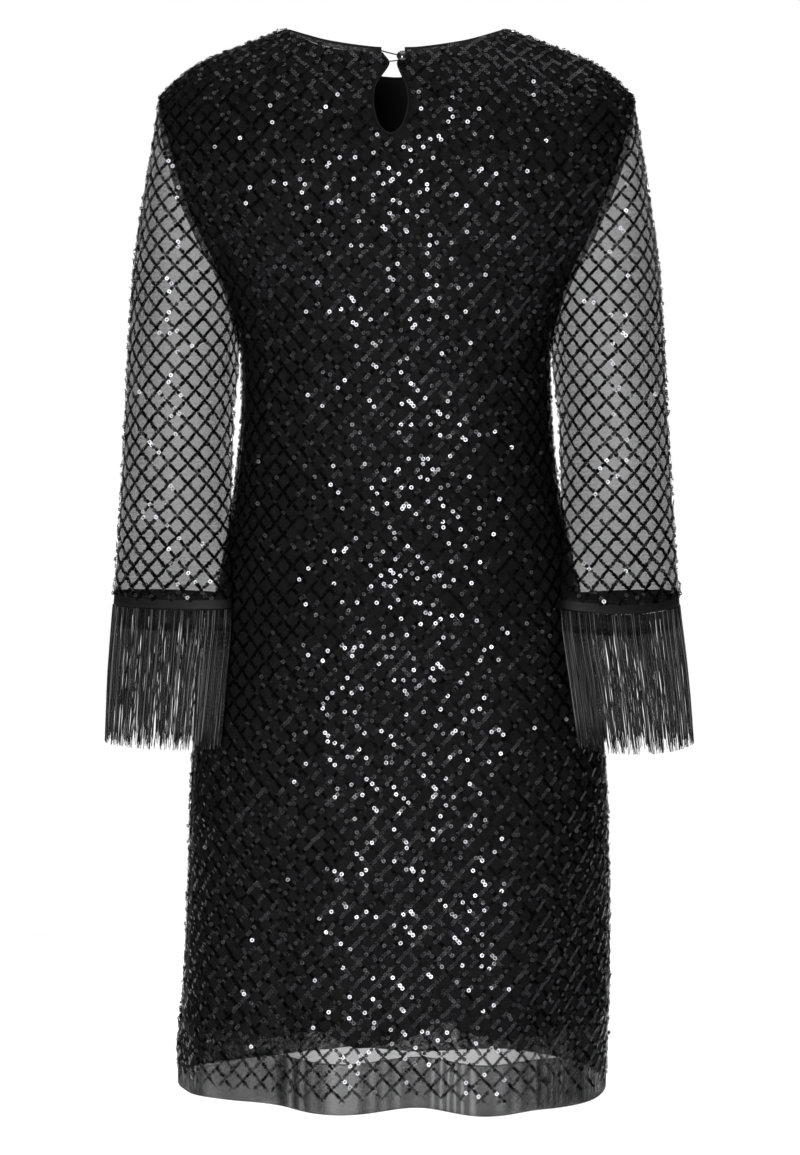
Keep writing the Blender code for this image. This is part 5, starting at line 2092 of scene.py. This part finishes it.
    def loop(self) -> bpy.types.Object:
        """Model the cord from the keyhole's left corner round the shank.

        Returns:
            The dressed loop.
        """
        seat, normal = self.surface(self.button_x, self.button_z)
        sideways = np.array([1.0, 0.0, 0.0])
        sideways = unit(sideways - normal * sideways.dot(normal))
        upward = np.cross(normal, sideways)
        upward = upward if upward[2] > 0.0 else -upward
        middle = seat + normal * (self.form.seam + self.shank_height / 2)
        ring = self.shank_radius + self.loop_radius + self.loop_gap
        rise = normal * (self.loop_radius + self.form.seam)
        upper = self.surface(*self.loop_upper)[0] + rise
        lower = self.surface(*self.loop_lower)[0] + rise
        angles = np.radians(np.linspace(66.0, 294.0, 25))
        bend = [middle + (sideways * math.cos(a) + upward * math.sin(a)) * ring for a in angles]
        shares = np.linspace(0.0, 1.0, 12)
        sag = -self.loop_sag * upward
        path = [upper + (bend[0] - upper) * s + sag * math.sin(math.pi * s) for s in shares[:-1]]
        path += bend
        path += [bend[-1] + (lower - bend[-1]) * s + sag * math.sin(math.pi * s) for s in shares[1:]]
        item = self.tube("loop_cord", np.array(path), self.loop_radius, 8)
        return dress(item, CordFinish(), Slot.CORD, "button_loop")

    def stitches(self) -> bpy.types.Object:
        """Model the stitches that hold the loop's two ends.

        Returns:
            The dressed stitches.
        """
        rng = np.random.default_rng(9)
        threads = []
        for x, z in self.stitch_ends:
            for _ in range(self.stitch_count):
                start = np.array([x + rng.uniform(-0.0004, 0.0018), z + rng.uniform(-0.0014, 0.0014)])
                turn = rng.uniform(-1.2, 1.2)
                run = np.array([math.cos(turn), math.sin(turn)]) * rng.uniform(0.0016, 0.0030)
                path = []
                for share in np.linspace(0.0, 1.0, 6):
                    point, normal = self.surface(*(start + run * share))
                    path.append(point + normal * (0.0006 + 0.0012 * math.sin(math.pi * share)))
                threads.append(self.tube("stitch", np.array(path), self.stitch_radius, 4))
        select_only(threads[0])
        for thread in threads:
            thread.select_set(True)
        bpy.ops.object.join()
        item = bpy.context.object
        item.name = item.data.name = "loop_stitches"
        return dress(item, CordFinish(), Slot.CORD, "button_loop")

    def build(self) -> None:
        """Make and dress every piece of the neck's trim."""
        self.neck_edge()
        self.keyhole_edge()
        self.button()
        self.loop()
        self.stitches()


class SoftBox(NamedTuple):
    """One light of the studio, with its power in watts."""

    name: str
    place: tuple[float, float, float]
    aim: tuple[float, float, float]
    width: float
    height: float
    power: float


SOFT_BOXES = [
    SoftBox("key", (0.42, 3.4, -0.15), (0.0, 0.0, -0.45), 0.70, 2.0, 185.0),
    SoftBox("top", (0.0, 0.3, 2.6), (0.0, 0.0, -1.0), 3.6, 3.6, 75.0),
    SoftBox("mirror", (-0.1, -3.4, -0.2), (0.0, 0.0, -0.45), 0.50, 2.2, 34.0),
]


@dataclass
class Studio:
    """Camera, light and floor."""

    camera_place: tuple[float, float, float] = CAMERA
    tilt: float = 1.6
    focal_pixels: float = 3500.8
    frame_height: float = 1155.0
    shift_pixels: tuple[float, float] = (6.0, -220.0)
    sensor: float = 36.0
    floor_z: float = -1.40
    floor_radius: float = 3.2

    def camera(self) -> None:
        """Set the camera at the photo's viewing angle."""
        data = bpy.data.cameras.new("camera")
        data.sensor_width = self.sensor
        data.lens = self.focal_pixels * self.sensor / self.frame_height
        data.shift_x = self.shift_pixels[0] / self.frame_height
        data.shift_y = self.shift_pixels[1] / self.frame_height
        item = bpy.data.objects.new("camera", data)
        item.location = self.camera_place
        item.rotation_euler = (math.radians(90.0 - self.tilt), 0.0, math.pi)
        bpy.context.scene.collection.objects.link(item)
        bpy.context.scene.camera = item

    def light(self, box: SoftBox) -> None:
        """Add a soft box that faces its aim."""
        data = bpy.data.lights.new(box.name, "AREA")
        data.shape = "RECTANGLE"
        data.size = box.width
        data.size_y = box.height
        data.energy = box.power
        item = bpy.data.objects.new(box.name, data)
        item.location = box.place
        way = Vector(box.aim) - Vector(box.place)
        item.rotation_euler = way.to_track_quat("-Z", "Y").to_euler()
        bpy.context.scene.collection.objects.link(item)

    def sky(self) -> None:
        """Light the scene softly, bright before and behind the dress and dark at its sides."""
        world = bpy.data.worlds.new("studio")
        bpy.context.scene.world = world
        world.use_nodes = True
        graph = Graph(world.node_tree)
        x, y, z = graph.split(graph.wire("ShaderNodeTexCoord", "Generated"))
        along = graph.step(y.math("ABSOLUTE"), 0.55, 0.95)
        above = graph.step(z, 0.45, 0.95)
        level = 0.020 + along * 0.20 + above * 0.30
        seen = graph.wire("ShaderNodeLightPath", "Is Camera Ray")
        strength = level + seen * (1.0 - level)
        back = world.node_tree.nodes["Background"]
        back.inputs["Color"].default_value = (1.0, 1.0, 1.0, 1.0)
        world.node_tree.links.new(strength.socket, back.inputs["Strength"])

    def floor(self) -> None:
        """Lay the plain pale floor."""
        bpy.ops.object.select_all(action="DESELECT")
        bpy.ops.mesh.primitive_circle_add(vertices=96, radius=self.floor_radius, fill_type="NGON",
                                          location=(0.0, 0.0, self.floor_z))
        item = bpy.context.object
        item.name = "floor"
        item.data.materials.append(FloorFinish().material())
        item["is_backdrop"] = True

    def build(self) -> None:
        """Set up the whole studio."""
        self.camera()
        self.sky()
        for box in SOFT_BOXES:
            self.light(box)
        self.floor()
        bpy.context.scene.view_settings.view_transform = "Standard"


def corners() -> list[list[float]]:
    """Lowest and highest corner of what shows, as plain lists."""
    return [[float(value) for value in corner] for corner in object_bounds()]


def main() -> None:
    """Build the dressed model and its studio."""
    logging.basicConfig(level=logging.INFO, format="%(name)s: %(message)s")
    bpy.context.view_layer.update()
    bpy.ops.object.select_all(action="DESELECT")
    body = BodyForm()
    sequins = Sequins()
    Body(body, sequins).build()
    for hand in Hand:
        form = SleeveForm(hand, body)
        Sleeve(form, sequins).build()
        Cuff(form).build()
    NeckTrim(body).build()
    Studio().build()


if __name__ == "__main__":
    main()
